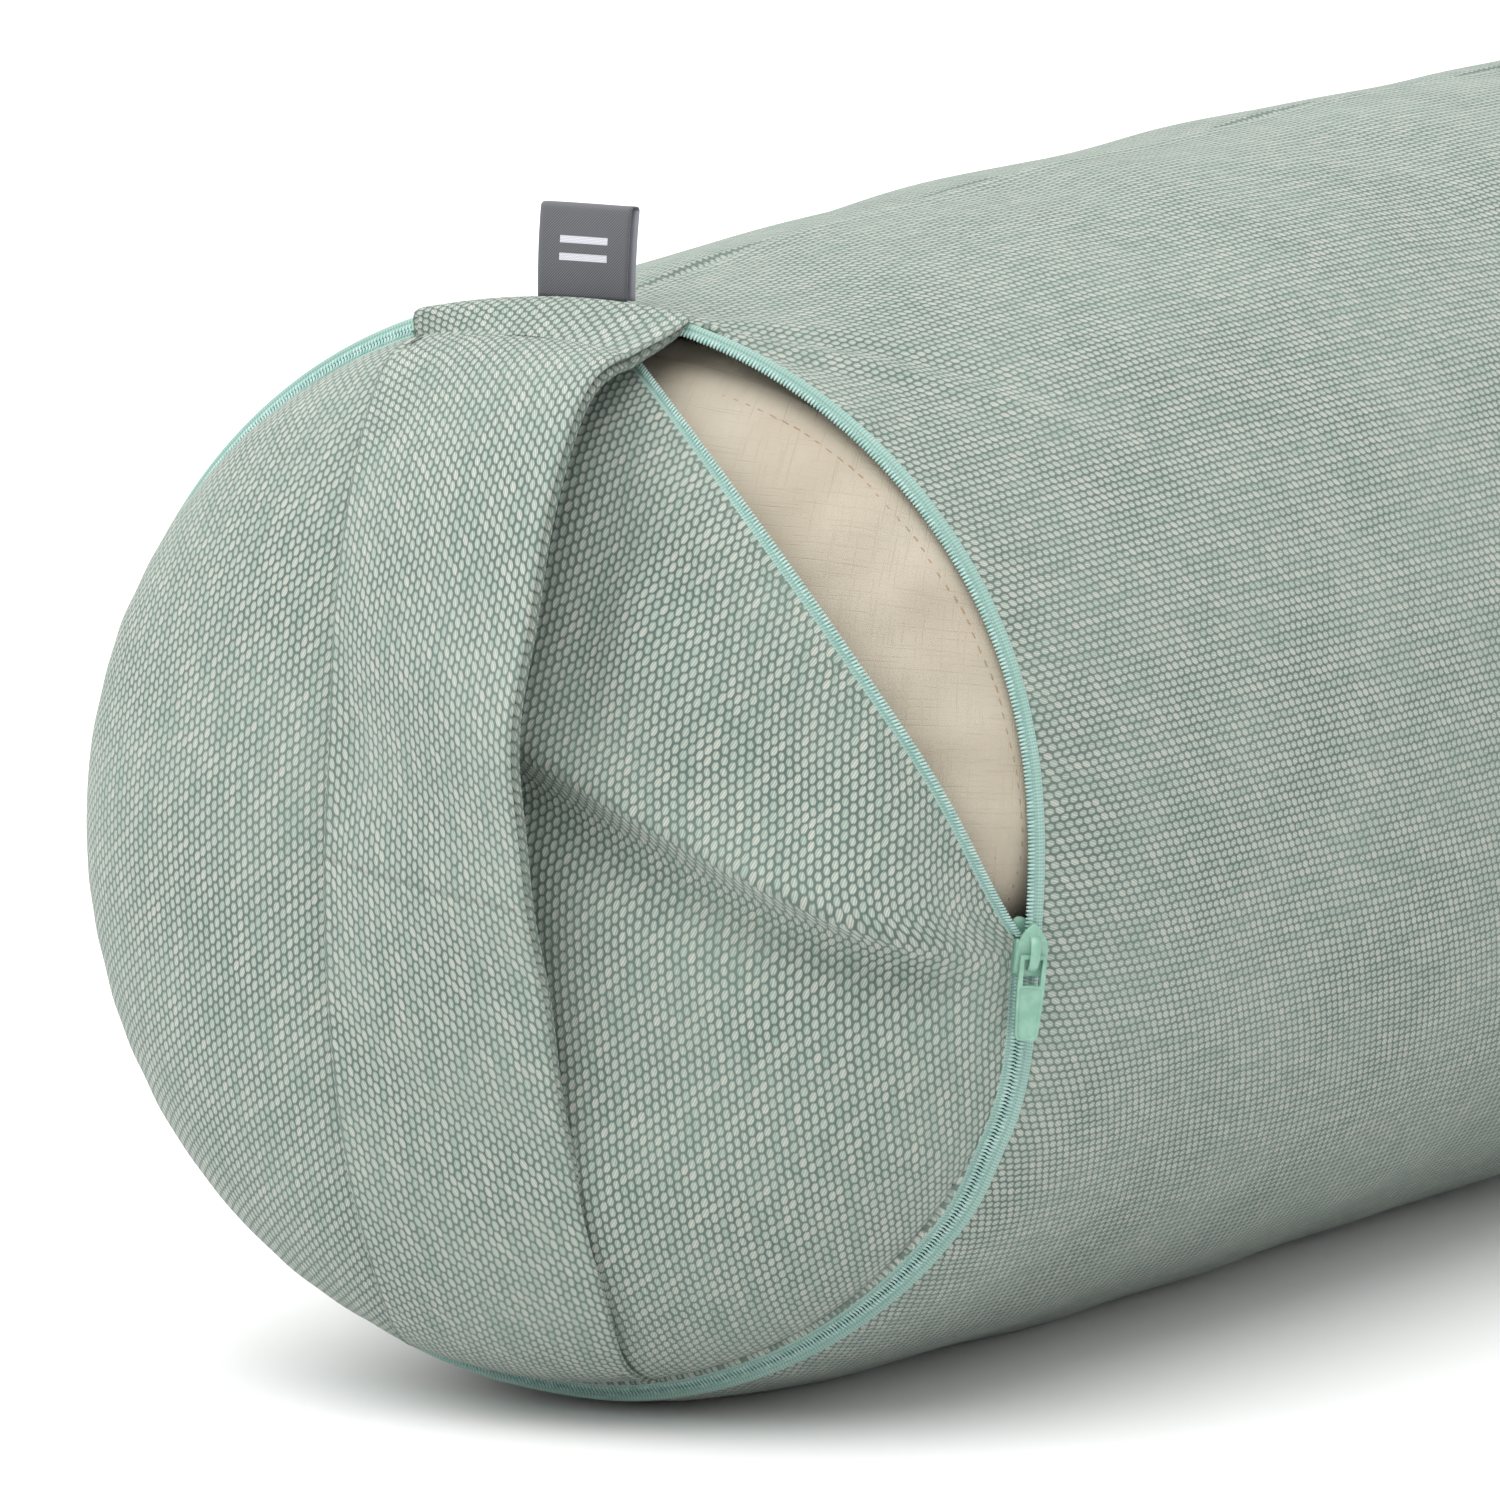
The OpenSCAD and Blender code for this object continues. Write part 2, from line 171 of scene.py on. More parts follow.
def grid_faces(rows, cols, wrap, flip=False, offset=0):
    """Quads of a grid, with the row and column of each corner before any wrapping."""
    i, j = np.meshgrid(np.arange(rows - 1), np.arange(cols if wrap else cols - 1), indexing="ij")
    corners = [(i, j), (i, j + 1), (i + 1, j + 1), (i + 1, j)]
    if flip:
        corners.reverse()
    ids = np.stack([a * cols + b % cols + offset for a, b in corners], -1).reshape(-1, 4)
    at = np.stack([np.stack([a, b], -1) for a, b in corners], -2).reshape(-1, 4, 2)
    return ids, at


def grid_normals(points, wrap):
    du = np.gradient(points, axis=0)
    if wrap:
        dv = (np.roll(points, -1, 1) - np.roll(points, 1, 1)) / 2
    else:
        dv = np.gradient(points, axis=1)
    return unit(np.cross(du, dv))


def above_floor(points, gap=FLOOR_GAP):
    """Cloth that would reach below the floor lies flat on it."""
    points[..., 2] = np.maximum(points[..., 2], gap)
    return points


def cloth(name, points, coords, thickness=CLOTH_T, wrap=False, flip=False, crisp=False):
    """A sheet of cloth from a grid of points, its back a thickness behind, its free edges closed.
    coords are the cloth's own (a, b), with one column more than points where the grid wraps. crisp
    keeps the closing faces out of the shading, so that two pieces meet without a line."""
    rows, cols = points.shape[:2]
    side = -1 if flip else 1
    back = points - side * grid_normals(points, wrap) * thickness
    count = rows * cols
    front_ids, at = grid_faces(rows, cols, wrap, flip)
    back_ids, back_at = grid_faces(rows, cols, wrap, not flip, count)
    faces, corners = [front_ids, back_ids], [at, back_at]
    edges = [(0, 0, not flip), (0, rows - 1, flip)]
    if not wrap:
        edges += [(1, 0, flip), (1, cols - 1, not flip)]
    for axis, index, reverse in edges:
        k = np.arange((cols if wrap else cols - 1) if axis == 0 else rows - 1)
        where = np.stack([np.full_like(k, index), k][::1 - 2 * axis], -1)
        next_to = where + [axis, 1 - axis]
        a, b = (spot[:, 0] * cols + spot[:, 1] % cols for spot in (where, next_to))
        quad = np.stack([a, b, b + count, a + count], -1)
        at_quad = np.stack([where, next_to, next_to, where], -2)
        faces.append(quad[:, ::-1] if reverse else quad)
        corners.append(at_quad[:, ::-1] if reverse else at_quad)
    ids = np.concatenate(faces)
    spots = np.concatenate(corners).reshape(-1, 2)
    uvs = coords[spots[:, 0], spots[:, 1]]
    obj = mesh_object(name, np.concatenate([points, back]), ids.tolist(), uvs)
    if crisp:
        obj.data.polygons.foreach_set("use_smooth", np.arange(len(ids)) < 2 * len(front_ids))
    return obj


def solid_grid(name, points, coords):
    """A closed bar: each row of points is a closed outline, and the rows follow each other."""
    rows, cols = points.shape[:2]
    ids, at = grid_faces(rows, cols, True)
    spots = at.reshape(-1, 2)
    caps = [list(range(cols))[::-1], list(range((rows - 1) * cols, rows * cols))]
    around = coords[spots[:, 0], spots[:, 1]]
    uvs = np.concatenate([around, coords[0, :cols][::-1], coords[-1, :cols]])
    return mesh_object(name, points, ids.tolist() + caps, uvs)


def disc_steps(count):
    """Shares of a round panel's radius, closer together towards its edge."""
    return np.sin(np.linspace(0.004, math.pi / 2, count))


def disc_coords(points, first, angle, stretch=(1, 1)):
    """Flat cloth coordinates of a round panel, from the lengths along it outwards."""
    step = np.linalg.norm(np.diff(points, axis=0), axis=-1)
    reach = np.concatenate([first + np.zeros((1, points.shape[1])), step]).cumsum(0)
    reach = np.concatenate([reach, reach[:, :1]], 1)
    return column(reach * np.sin(angle) * stretch[0], reach * np.cos(angle) * stretch[1])


def capsules(name, centres, along, out, length, radius, curve=0.0):
    """Many small rounded rods in one mesh, such as teeth or stitches. curve lifts their middles."""
    sides = 6
    across = unit(np.cross(along, out))
    t = np.array([-1, -0.86, -0.4, 0.4, 0.86, 1.0])
    fat = np.array([0.25, 0.8, 1, 1, 0.8, 0.25])
    turn = TURN * np.arange(sides) / sides
    spine = centres[:, None] + along[:, None] * (t * length / 2)[:, None] + \
        out[:, None] * ((1 - t * t) * curve)[:, None]
    ring = across[:, None, None] * np.cos(turn)[:, None] \
        + out[:, None, None] * np.sin(turn)[:, None]
    points = spine[:, :, None] + ring * (fat * radius)[None, :, None, None]
    per = len(t) * sides
    ids, _ = grid_faces(len(t), sides, True)
    caps = [list(range(sides))[::-1], list(range(per - sides, per))]
    faces = []
    for n in range(len(centres)):
        faces += (ids + n * per).tolist() + [[k + n * per for k in cap] for cap in caps]
    return mesh_object(name, points, faces)


def dress(obj, material):
    obj.data.materials.clear()
    obj.data.materials.append(material)
    return obj


# -------------------- materials
class Shader:
    """A material and short ways to wire its nodes."""

    def __init__(self, name, roughness, sheen=0.0, specular=0.35):
        self.material = bpy.data.materials.new(name)
        self.material.use_nodes = True
        self.tree = self.material.node_tree
        self.bsdf = self.tree.nodes["Principled BSDF"]
        for key, value in (("Roughness", roughness), ("Sheen Weight", sheen),
                           ("Sheen Roughness", 0.5), ("Specular IOR Level", specular)):
            self.bsdf.inputs[key].default_value = value

    def node(self, kind, **inputs):
        made = self.tree.nodes.new(kind)
        for key, value in inputs.items():
            self.feed(made.inputs[key.replace("_", " ")], value)
        return made

    def feed(self, socket, value):
        if isinstance(value, bpy.types.NodeSocket):
            self.tree.links.new(value, socket)
        else:
            socket.default_value = value

    def math(self, operation, *values):
        made = self.tree.nodes.new("ShaderNodeMath")
        made.operation = operation
        for socket, value in zip(made.inputs, values):
            self.feed(socket, value)
        return made.outputs[0]

    def add(self, *values):
        return self.math("ADD", *values)

    def sub(self, *values):
        return self.math("SUBTRACT", *values)

    def mul(self, *values):
        return self.math("MULTIPLY", *values)

    def div(self, *values):
        return self.math("DIVIDE", *values)

    def abs(self, value):
        return self.math("ABSOLUTE", value)

    def wave(self, value, pitch):
        return self.math("SINE", self.mul(value, TURN / pitch))

    def ramp(self, value, low, high, to_low=0.0, to_high=1.0):
        made = self.node("ShaderNodeMapRange", Value=value, From_Min=low, From_Max=high,
                         To_Min=to_low, To_Max=to_high)
        made.interpolation_type = "SMOOTHSTEP"
        return made.outputs[0]

    def mix(self, factor, one, two):
        made = self.tree.nodes.new("ShaderNodeMix")
        made.data_type = "RGBA"
        for key, value in (("Factor", factor), (6, one), (7, two)):
            self.feed(made.inputs[key], value)
        return made.outputs[2]

    def uv(self):
        """The cloth's own coordinates, in metres."""
        made = self.tree.nodes.new("ShaderNodeUVMap")
        made.uv_map = "Weave"
        split = self.node("ShaderNodeSeparateXYZ", Vector=made.outputs[0])
        return split.outputs[0], split.outputs[1]

    def spot(self):
        """A point of the piece itself."""
        return self.tree.nodes.new("ShaderNodeTexCoord").outputs["Object"]

    def vector(self, x, y):
        return self.node("ShaderNodeCombineXYZ", X=x, Y=y).outputs[0]

    def noise(self, vector, scale, detail=2.0):
        return self.node("ShaderNodeTexNoise", Vector=vector, Scale=scale, Detail=detail).outputs[0]

    def random(self, vector):
        return self.node("ShaderNodeTexWhiteNoise", Vector=vector)

    def finish(self, colour, height=None):
        self.feed(self.bsdf.inputs["Base Color"], colour)
        if height is not None:
            bump = self.node("ShaderNodeBump", Height=height, Distance=1.0, Strength=1.0)
            self.feed(self.bsdf.inputs["Normal"], bump.outputs[0])
        return self.material


def linear(red, green, blue):
    """The linear colour that is seen as this sRGB value under the studio's light."""
    return tuple(0.785 * ((c / 255 + 0.055) / 1.055) ** 2.4 for c in (red, green, blue)) + (1,)


def sage_weave():
    """Basket weave: staggered off-white grains on green, each of two twisted yarns."""
    column_w, row_l = 0.00155, 0.00225
    s = Shader("sage_weave", 0.85, sheen=0.15)
    a, b = s.uv()
    wobble = s.noise(s.vector(a, b), 220.0, 1.0)
    a = s.add(a, s.mul(s.sub(wobble, 0.5), 0.0005))
    across = s.div(a, column_w)
    col = s.math("FLOOR", across)
    odd = s.math("FLOORED_MODULO", col, 2.0)
    along = s.add(s.div(b, row_l), s.mul(odd, 0.5))
    row = s.math("FLOOR", along)
    cell = s.vector(col, row)
    rand = s.random(cell)
    x = s.mul(s.sub(s.math("FRACT", across), 0.5), column_w / MM)
    y = s.mul(s.sub(s.math("FRACT", along), 0.5), row_l / MM)
    lean = s.add(s.mul(s.sub(rand.outputs[0], 0.5), 0.30), 0.13)
    x_lean = s.sub(x, s.mul(y, lean))
    size = s.ramp(rand.outputs[0], 0.0, 1.0, 0.94, 1.06)
    edge = s.add(*[s.math("POWER", s.div(s.abs(value), s.mul(size, reach)), 2.1)
                   for value, reach in ((x_lean, 0.66), (y, 0.98))])
    grain = s.ramp(edge, 1.45, 0.45)
    yarn = s.add(s.div(s.sub(x_lean, s.mul(y, 0.34)), 0.60), 0.5)
    strand = s.abs(s.sub(s.math("FRACT", yarn), 0.5))
    split = s.ramp(strand, 0.24, 0.48)
    fibre = s.noise(s.vector(s.mul(a, 6.0), b), 900.0, 2.0)
    drift = s.noise(s.vector(s.mul(col, 0.9), s.mul(row, 0.07)), 1.7, 2.0)
    tint = s.ramp(drift, 0.42, 0.66)
    warm = s.ramp(s.mul(rand.outputs[0], s.ramp(fibre, 0.2, 0.8, 0.8, 1.2)), 0.55, 1.0)
    light = s.mix(warm, linear(180, 189, 178), linear(192, 195, 184))
    light = s.mix(s.mul(tint, 0.40), light, linear(138, 164, 152))
    # painted shade: each grain turns darker along the groove between its two yarns
    light = s.mix(s.mul(split, 0.60), light, linear(112, 130, 121))
    patch = s.ramp(s.noise(s.vector(a, b), 26.0, 3.0), 0.3, 0.7)
    # the gaps between grains are the green yarn's own colour, set darker as painted shade in these
    # recesses
    green = s.mix(patch, linear(88, 107, 99), linear(108, 127, 117))
    colour = s.mix(grain, green, light)
    dome = s.math("SQRT", s.sub(1.0, s.math("MINIMUM", edge, 1.0)))
    height = s.mul(s.sub(dome, s.mul(split, 0.25)), 0.00024)
    return s.finish(colour, height)


def zip_tape_weave():
    """Mint polyester tape with fine crosswise ribs; b runs along the zip."""
    s = Shader("mint_tape", 0.62, sheen=0.2)
    a, b = s.uv()
    rib = s.wave(b, 0.00062)
    cord = s.wave(a, 0.00048)
    worn = s.ramp(s.noise(s.vector(a, s.mul(b, 0.3)), 160.0, 3.0), 0.3, 0.7)
    base = s.mix(worn, linear(148, 180, 171), linear(168, 197, 188))
    shade = s.ramp(s.add(rib, s.mul(cord, 0.5)), -1.3, 0.9, 0.0, 1.0)
    colour = s.mix(shade, linear(124, 164, 154), base)
    height = s.mul(s.add(rib, s.mul(cord, 0.4)), 0.00003)
    return s.finish(colour, height)


def zip_coil_nylon():
    """Mint nylon filament, slightly glossy, with a mottled tone."""
    s = Shader("mint_nylon", 0.42, specular=0.5)
    spot = s.spot()
    tone = s.ramp(s.noise(spot, 700.0, 2.0), 0.35, 0.65)
    colour = s.mix(tone, linear(152, 192, 184), linear(180, 210, 204))
    return s.finish(colour)


def mint_enamel():
    """Painted zinc: smooth mint enamel with faint orange peel and thinner paint in patches."""
    s = Shader("mint_enamel", 0.36, specular=0.5)
    s.bsdf.inputs["Coat Weight"].default_value = 0.25
    s.bsdf.inputs["Coat Roughness"].default_value = 0.25
    spot = s.spot()
    tone = s.ramp(s.noise(spot, 420.0, 3.0), 0.35, 0.7)
    colour = s.mix(tone, linear(122, 170, 148), linear(140, 184, 164))
    height = s.mul(s.noise(spot, 1500.0, 2.0), 0.00003)
    return s.finish(colour, height)


def calico():
    """Unbleached cotton: fine plain weave with slubs both ways and brown husk flecks."""
    s = Shader("calico", 0.9, sheen=0.1)
    a, b = s.uv()
    pitch = 0.00042
    over = s.wave(a, pitch)
    under = s.wave(b, pitch)
    weave = s.mul(over, under)
    warp = s.noise(s.vector(s.mul(a, 14.0), s.mul(b, 0.5)), 130.0, 3.0)
    weft = s.noise(s.vector(s.mul(a, 0.5), s.mul(b, 14.0)), 130.0, 3.0)
    slub = s.ramp(s.math("MAXIMUM", warp, weft), 0.52, 0.74)
    patch = s.ramp(s.noise(s.vector(a, b), 45.0, 3.0), 0.3, 0.7)
    base = s.mix(patch, linear(186, 176, 158), linear(196, 187, 170))
    base = s.mix(s.mul(slub, 0.16), base, linear(168, 154, 132))
    base = s.mix(s.ramp(weave, -1.0, 1.0, 0.0, 0.22), base, linear(156, 143, 122))
    fleck = s.node("ShaderNodeTexVoronoi", Vector=s.vector(a, b), Scale=115.0)
    chance = s.math("GREATER_THAN", s.random(fleck.outputs["Position"]).outputs[0], 0.80)
    dot = s.mul(s.ramp(fleck.outputs["Distance"], 0.045, 0.02), chance)
    colour = s.mix(s.mul(dot, 0.7), base, linear(120, 92, 62))
    height = s.add(s.mul(weave, 0.00003), s.mul(slub, 0.00008))
    return s.finish(colour, height)


def yarn(name, colour_a, colour_b):
    """Sewing thread with a fine twist."""
    s = Shader(name, 0.7, sheen=0.2)
    spot = s.spot()
    split = s.node("ShaderNodeSeparateXYZ", Vector=spot)
    diagonal = s.add(s.add(split.outputs[0], split.outputs[1]), split.outputs[2])
    twist = s.wave(diagonal, 0.00045)
    return s.finish(s.mix(s.ramp(twist, -1.0, 1.0), colour_a, colour_b), s.mul(twist, 0.00003))


def label_satin():
    """Charcoal woven label: a fine diagonal twill with two pale woven bars."""
    s = Shader("charcoal_satin", 0.6, sheen=0.25)
    a, b = s.uv()
    twill = s.wave(s.add(a, b), 0.00055)
    pick = s.wave(b, 0.00028)
    base = s.mix(s.ramp(twill, -1.0, 1.0), linear(70, 71, 75), linear(106, 107, 112))
    middle = s.abs(s.sub(b, 0.0092))
    inside = s.math("LESS_THAN", s.abs(a), 0.0052)
    bar = s.mul(s.ramp(s.abs(s.sub(middle, 0.0016)), 0.00075, 0.00055), inside)
    pale = s.mix(s.ramp(pick, -1.0, 1.0), linear(186, 188, 196), linear(226, 228, 234))
    colour = s.mix(bar, base, pale)
    back = s.ramp(b, 0.0180, 0.0186)
    colour = s.mix(back, colour, linear(150, 150, 160))
    height = s.add(s.mul(twill, 0.00002), s.mul(bar, 0.00006))
    return s.finish(colour, height)


def husk_mix():
    """Loose grain husks: small brown and straw flakes."""
    s = Shader("grain_husks", 0.8)
    spot = s.spot()
    flake = s.node("ShaderNodeTexVoronoi", Vector=spot, Scale=260.0)
    tone = s.random(flake.outputs["Position"]).outputs[0]
    colour = s.mix(tone, linear(120, 86, 52), linear(206, 174, 122))
    return s.finish(colour, s.mul(flake.outputs["Distance"], 0.0012))


SAGE, TAPE, NYLON, ENAMEL = sage_weave(), zip_tape_weave(), zip_coil_nylon(), mint_enamel()
CALICO, SATIN, HUSKS = calico(), label_satin(), husk_mix()
SAGE_THREAD = yarn("sage_thread", linear(110, 136, 122), linear(158, 178, 164))
COTTON_THREAD = yarn("cotton_thread", linear(152, 124, 94), linear(182, 158, 126))

# -------------------- cover tube
HEM_X, HEM_RING_R = DIAGONAL * BAND_W, ZIP_R + DIAGONAL * BAND_W  # the tube's hem at the zip
RIM_REACH = 0.022  # how far the rim's shape carries into the tube


def tube_radius(x):
    """The stuffed tube is drawn in at the zip and at the far seam."""
    front = COVER_R - HEM_RING_R
    near = 0.22 * np.exp(-(x - HEM_X) / 0.008) + 0.78 * np.exp(-(x - HEM_X) / 0.058)
    far = np.exp(-(FAR_X - x) / 0.030)
    return COVER_R - front * near - 0.0075 * far


def sag(x, theta):
    """How far the top of the tube sinks behind the open zip."""
    d = np.maximum(x - HEM_X, 0)
    turn = (np.remainder(theta + math.pi, TURN) - math.pi + math.radians(8)) / math.radians(48)
    return 0.0100 * (1 - np.exp(-d / 0.014)) * np.exp(-d / 0.115) * np.exp(-turn ** 2)


def tube_surface(x, theta, radius):
    """A point of the tube with its creases, laid flat underneath."""
    d = x - HEM_X
    arc = COVER_R * theta
    gather = 0.00035 * np.exp(-d / 0.012) * ripple(11, (arc, d * 0.3), (0.011, 0.019))
    slack = 0.0005 * smooth(0, 0.05, d) * ripple(12, (arc * 0.7, d * 0.5), (0.060, 0.150))
    crease = 0.00035 * smooth(0.01, 0.06, d) * ripple(13, (arc, d * 0.45), (0.018, 0.045), 7)
    toward_strap = (theta - math.radians(14)) * 1.1 - d * 9.0
    pucker = 0.0014 * np.exp(-(toward_strap / 0.16) ** 2) * np.exp(-d / 0.040) \
        * np.sin(toward_strap * 30)
    from_seam = (theta - SEAM_THETA) * COVER_R
    groove = 0.0009 * np.exp(-(from_seam / 0.0010) ** 2)
    seam = 0.0005 * np.exp(-((from_seam - 0.003) / 0.0025) ** 2) - groove
    points = polar(x, radius - sag(x, theta) + gather + slack + crease + pucker + seam, theta)
    at_rim = rim(theta) - polar(0, ZIP_R, theta)
    return above_floor(points + at_rim * np.exp(-np.maximum(d, 0) / RIM_REACH)[..., None])


SEAM_THETA = math.radians(-4.0)


def cover_tube():
    run = FAR_X - HEM_X - HEM_R
    steps = np.linspace(0, 1, 190)
    x = HEM_X + HEM_R + run * (0.55 * steps ** 2.2 + 0.45 * steps)
    fold = np.linspace(-math.pi * 0.9, 0, 7)[:-1]
    fold_x = HEM_X + HEM_R + HEM_R * np.sin(fold)
    fold_drop = HEM_R * (np.cos(fold) - 1)
    theta = SEAM_THETA + np.linspace(0, TURN, 421)[:-1]
    every_x = np.concatenate([fold_x, x])
    radius = tube_radius(np.maximum(every_x, HEM_X)) + np.concatenate([fold_drop, np.zeros_like(x)])
    points = tube_surface(every_x[:, None], theta[None, :], radius[:, None])
    around = np.linspace(0, TURN, 421) * COVER_R
    length = np.concatenate([HEM_X + HEM_R + fold * HEM_R, x])
    coords = column(around[None, :], length[:, None])
    obj = cloth("cover_tube_cloth", points, coords, wrap=True, flip=True)
    dress(obj, SAGE)
    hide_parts("cover_tube")
    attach(obj, "bolster")


def tube_thread():
    """Lockstitches along the tube's lengthwise seam."""
    x = np.arange(0.006, FAR_X - 0.004, 0.0030)
    theta = np.full_like(x, SEAM_THETA)
    spots = tube_surface(x, theta, tube_radius(x)) + [0, 0, 0.0001]
    ahead = tube_surface(x + 0.001, theta, tube_radius(x + 0.001)) + [0, 0, 0.0001]
    along, out = unit(ahead - spots), outwards(theta)
    obj = capsules("tube_seam_stitches", spots, along, out, 0.0019, 0.00016, curve=0.0001)
    dress(obj, SAGE_THREAD)
    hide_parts("tube_seam_thread")
    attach(obj, "bolster")


# -------------------- end panels
PANEL_X, PANEL_R = -DIAGONAL * BAND_W, ZIP_R - DIAGONAL * BAND_W
PANEL_STRETCH = (1.06, 1.03)  # packing of the panel's weave across and up
DOME_H = CROWN + PANEL_X


def dome(radius):
    """How far the stuffed end stands out of the zip plane."""
    return -PANEL_X + DOME_H * np.sqrt(np.maximum(0, 1 - (radius / PANEL_R) ** 2.5))


def dome_slope(radius):
    ratio = np.clip(radius / PANEL_R, 0, 0.995)
    return DOME_H * 1.25 * ratio ** 1.5 / (PANEL_R * np.sqrt(1 - ratio ** 2.5))


def panel_relief(side, up):
    """Slack of the loosened panel: a crease from the strap to the slider, a dip beside the strap
    and soft bulges. side is the distance towards -Y from the axis and up the height above it."""
    a, b = np.array([0.010, 0.0291]), np.array([0.0925, -0.0085])
    line = b - a
    length = np.linalg.norm(line)
    s = ((side - a[0]) * line[0] + (up - a[1]) * line[1]) / length ** 2
    n = ((side - a[0]) * -line[1] + (up - a[1]) * line[0]) / length
    strength = smooth(-0.12, 0.06, s) * smooth(1.06, 0.92, s)
    above = np.exp(-np.maximum(n, 0) / 0.017)
    below = np.exp(-(np.maximum(-n, 0) / 0.0043) ** 1.6)
    steeper = smooth(0.4, 0.9, s)
    ridge = 0.0060 * (1 + 0.8 * steeper) * strength * np.where(n > 0, above, below)
    ditch = -0.0038 * (1 + 0.5 * steeper) * strength * np.exp(-((n + 0.0085) / 0.007) ** 2)
    dip = -0.0030 * np.exp(-((side - 0.027) / 0.007) ** 2 - ((up - 0.052) / 0.024) ** 2)
    bulge = 0.0028 * np.exp(-((side - 0.046) / 0.016) ** 2 - ((up - 0.040) / 0.020) ** 2)
    trough = -0.0022 * np.exp(-((np.hypot(side, up) - 0.070) / 0.006) ** 2) \
        * smooth(0.02, 0.05, side) * smooth(-0.01, 0.02, n)
    return ridge + ditch + dip + bulge + trough


def flap_edge(theta):
    """The panel's side of the meeting line: folded back with the flap where the zip is open."""
    opened = (theta > START) & (theta < FLAP_END)
    ring = polar(0, ZIP_R, theta)
    share = 0.3 + 0.7 * smooth(68, 94, np.degrees(theta))
    folded = turned(ring, FLAP_OPEN) + rim(theta, share) - ring
    return np.where(opened[..., None], folded, rim(theta))


def panel_edge(theta):
    """Hem of the end panel, with its outward direction along the cloth and its normal."""
    line = flap_edge(theta)
    opened = (theta > START) & (theta < FLAP_END)
    offset = line - RING
    radius = from_axis(offset)
    radial = unit(offset * [0, 1, 1])
    slope = np.where(opened, np.minimum(dome_slope(radius), 1.0), 1.0)
    outward = unit(radial + slope[..., None] * BEHIND)
    normal = unit(radial * slope[..., None] - BEHIND)
    return line - outward * BAND_W, outward, normal


def rim_angles(count):
    """Angles all round, with extra ones at both ends of the open stretch."""
    even = np.linspace(0, TURN, count + 1)[:-1]
    return np.sort(np.concatenate([even, [START, FLAP_END]]))


def end_panel():
    theta = rim_angles(430)
    hem, outward, normal = panel_edge(theta)
    offset = hem - RING
    radius = from_axis(offset)
    angle = np.arctan2(-offset[:, 1], offset[:, 2])
    steps = disc_steps(84) ** 0.92
    r = steps[:, None] * radius[None, :]
    side, up = r * np.sin(angle), r * np.cos(angle)
    rise = -offset[:, 0] - dome(radius)
    inward = 1 - steps[:, None]
    height = dome(r) + rise * steps[:, None] ** 10
    height = height + panel_relief(side, up) * smooth(0, 0.05, inward)
    height = height + 0.0006 * smooth(0, 0.2, inward) * ripple(21, (side, up), (0.035, 0.08))
    gather = 0.0003 * np.exp(-inward * radius / 0.006) * smooth(0, 0.02, inward)
    height = height + gather * ripple(22, (COVER_R * theta[None, :] + 0 * r, r), (0.010, 0.016))
    points = RING + column(-height, -side, up)
    fold = np.linspace(0, math.pi * 0.9, 7)[1:, None, None]
    centre = points[-1] - normal * HEM_R
    tucked = centre + HEM_R * (normal * np.cos(fold) + outward * np.sin(fold))
    points = np.concatenate([points, tucked])
    bearing = np.append(angle, angle[0] + TURN)
    coords = disc_coords(points, radius * steps[0], bearing, PANEL_STRETCH)
    obj = cloth("end_panel_cloth", points, coords, wrap=True)
    dress(obj, SAGE)
    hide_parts("end_panel", "end_panel_flap")
    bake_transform(obj)


def far_end_panel():
    """The plain stuffed end, sewn to the tube with a turned seam."""
    theta = np.linspace(0, TURN, 361)
    base_r = tube_radius(np.array(FAR_X)) - 0.0006
    steps = disc_steps(70)
    r = steps[:, None] * np.full(360, base_r)
    rise = FAR_CROWN * np.sqrt(np.maximum(0, 1 - steps[:, None] ** 2.5)) + 0 * r
    rise = rise + 0.0008 * smooth(0, 0.2, 1 - steps[:, None]) * ripple(
        31, (r * np.sin(theta[:-1]), r * np.cos(theta[:-1])), (0.04, 0.09))
    gather = 0.0005 * np.exp(-(1 - steps[:, None]) * 9) * smooth(0, 0.04, 1 - steps[:, None])
    rise = rise + gather * ripple(32, (COVER_R * theta[None, :-1] + 0 * r, r), (0.011, 0.018))
    points = above_floor(polar(FAR_X + rise, r, theta[:-1]))
    coords = disc_coords(points, base_r * steps[0], theta)
    obj = cloth("far_end_cloth", points, coords, wrap=True, flip=True)
    dress(obj, SAGE)
    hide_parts("far_end_panel")
    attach(obj, "bolster")


def far_seam_thread():
    theta = np.linspace(0, TURN, 201)[:-1]
    radius = tube_radius(np.array(FAR_X)) + 0.0001
    spots = polar(np.full_like(theta, FAR_X), radius, theta)
    along = downwards(theta)
    obj = capsules("far_seam_stitches", spots, along, outwards(theta), 0.0023, 0.00025)
    dress(obj, SAGE_THREAD)
    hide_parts("far_seam_thread")
    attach(obj, "bolster")


# -------------------- zip
TOOTH_PITCH, TOOTH_L, TOOTH_R = 0.00072, 0.0015, 0.00024


def band_frame(theta, side):
    """Meeting line of the zip, the direction away from the teeth and the normal, on one side."""
    if side > 0:
        radial = outwards(theta)
        line = rim(theta)
        away = unit(radial + BEHIND)
        return line, away, unit(radial - BEHIND)
    hem, outward, normal = panel_edge(theta)
    return hem + outward * BAND_W, -outward, normal


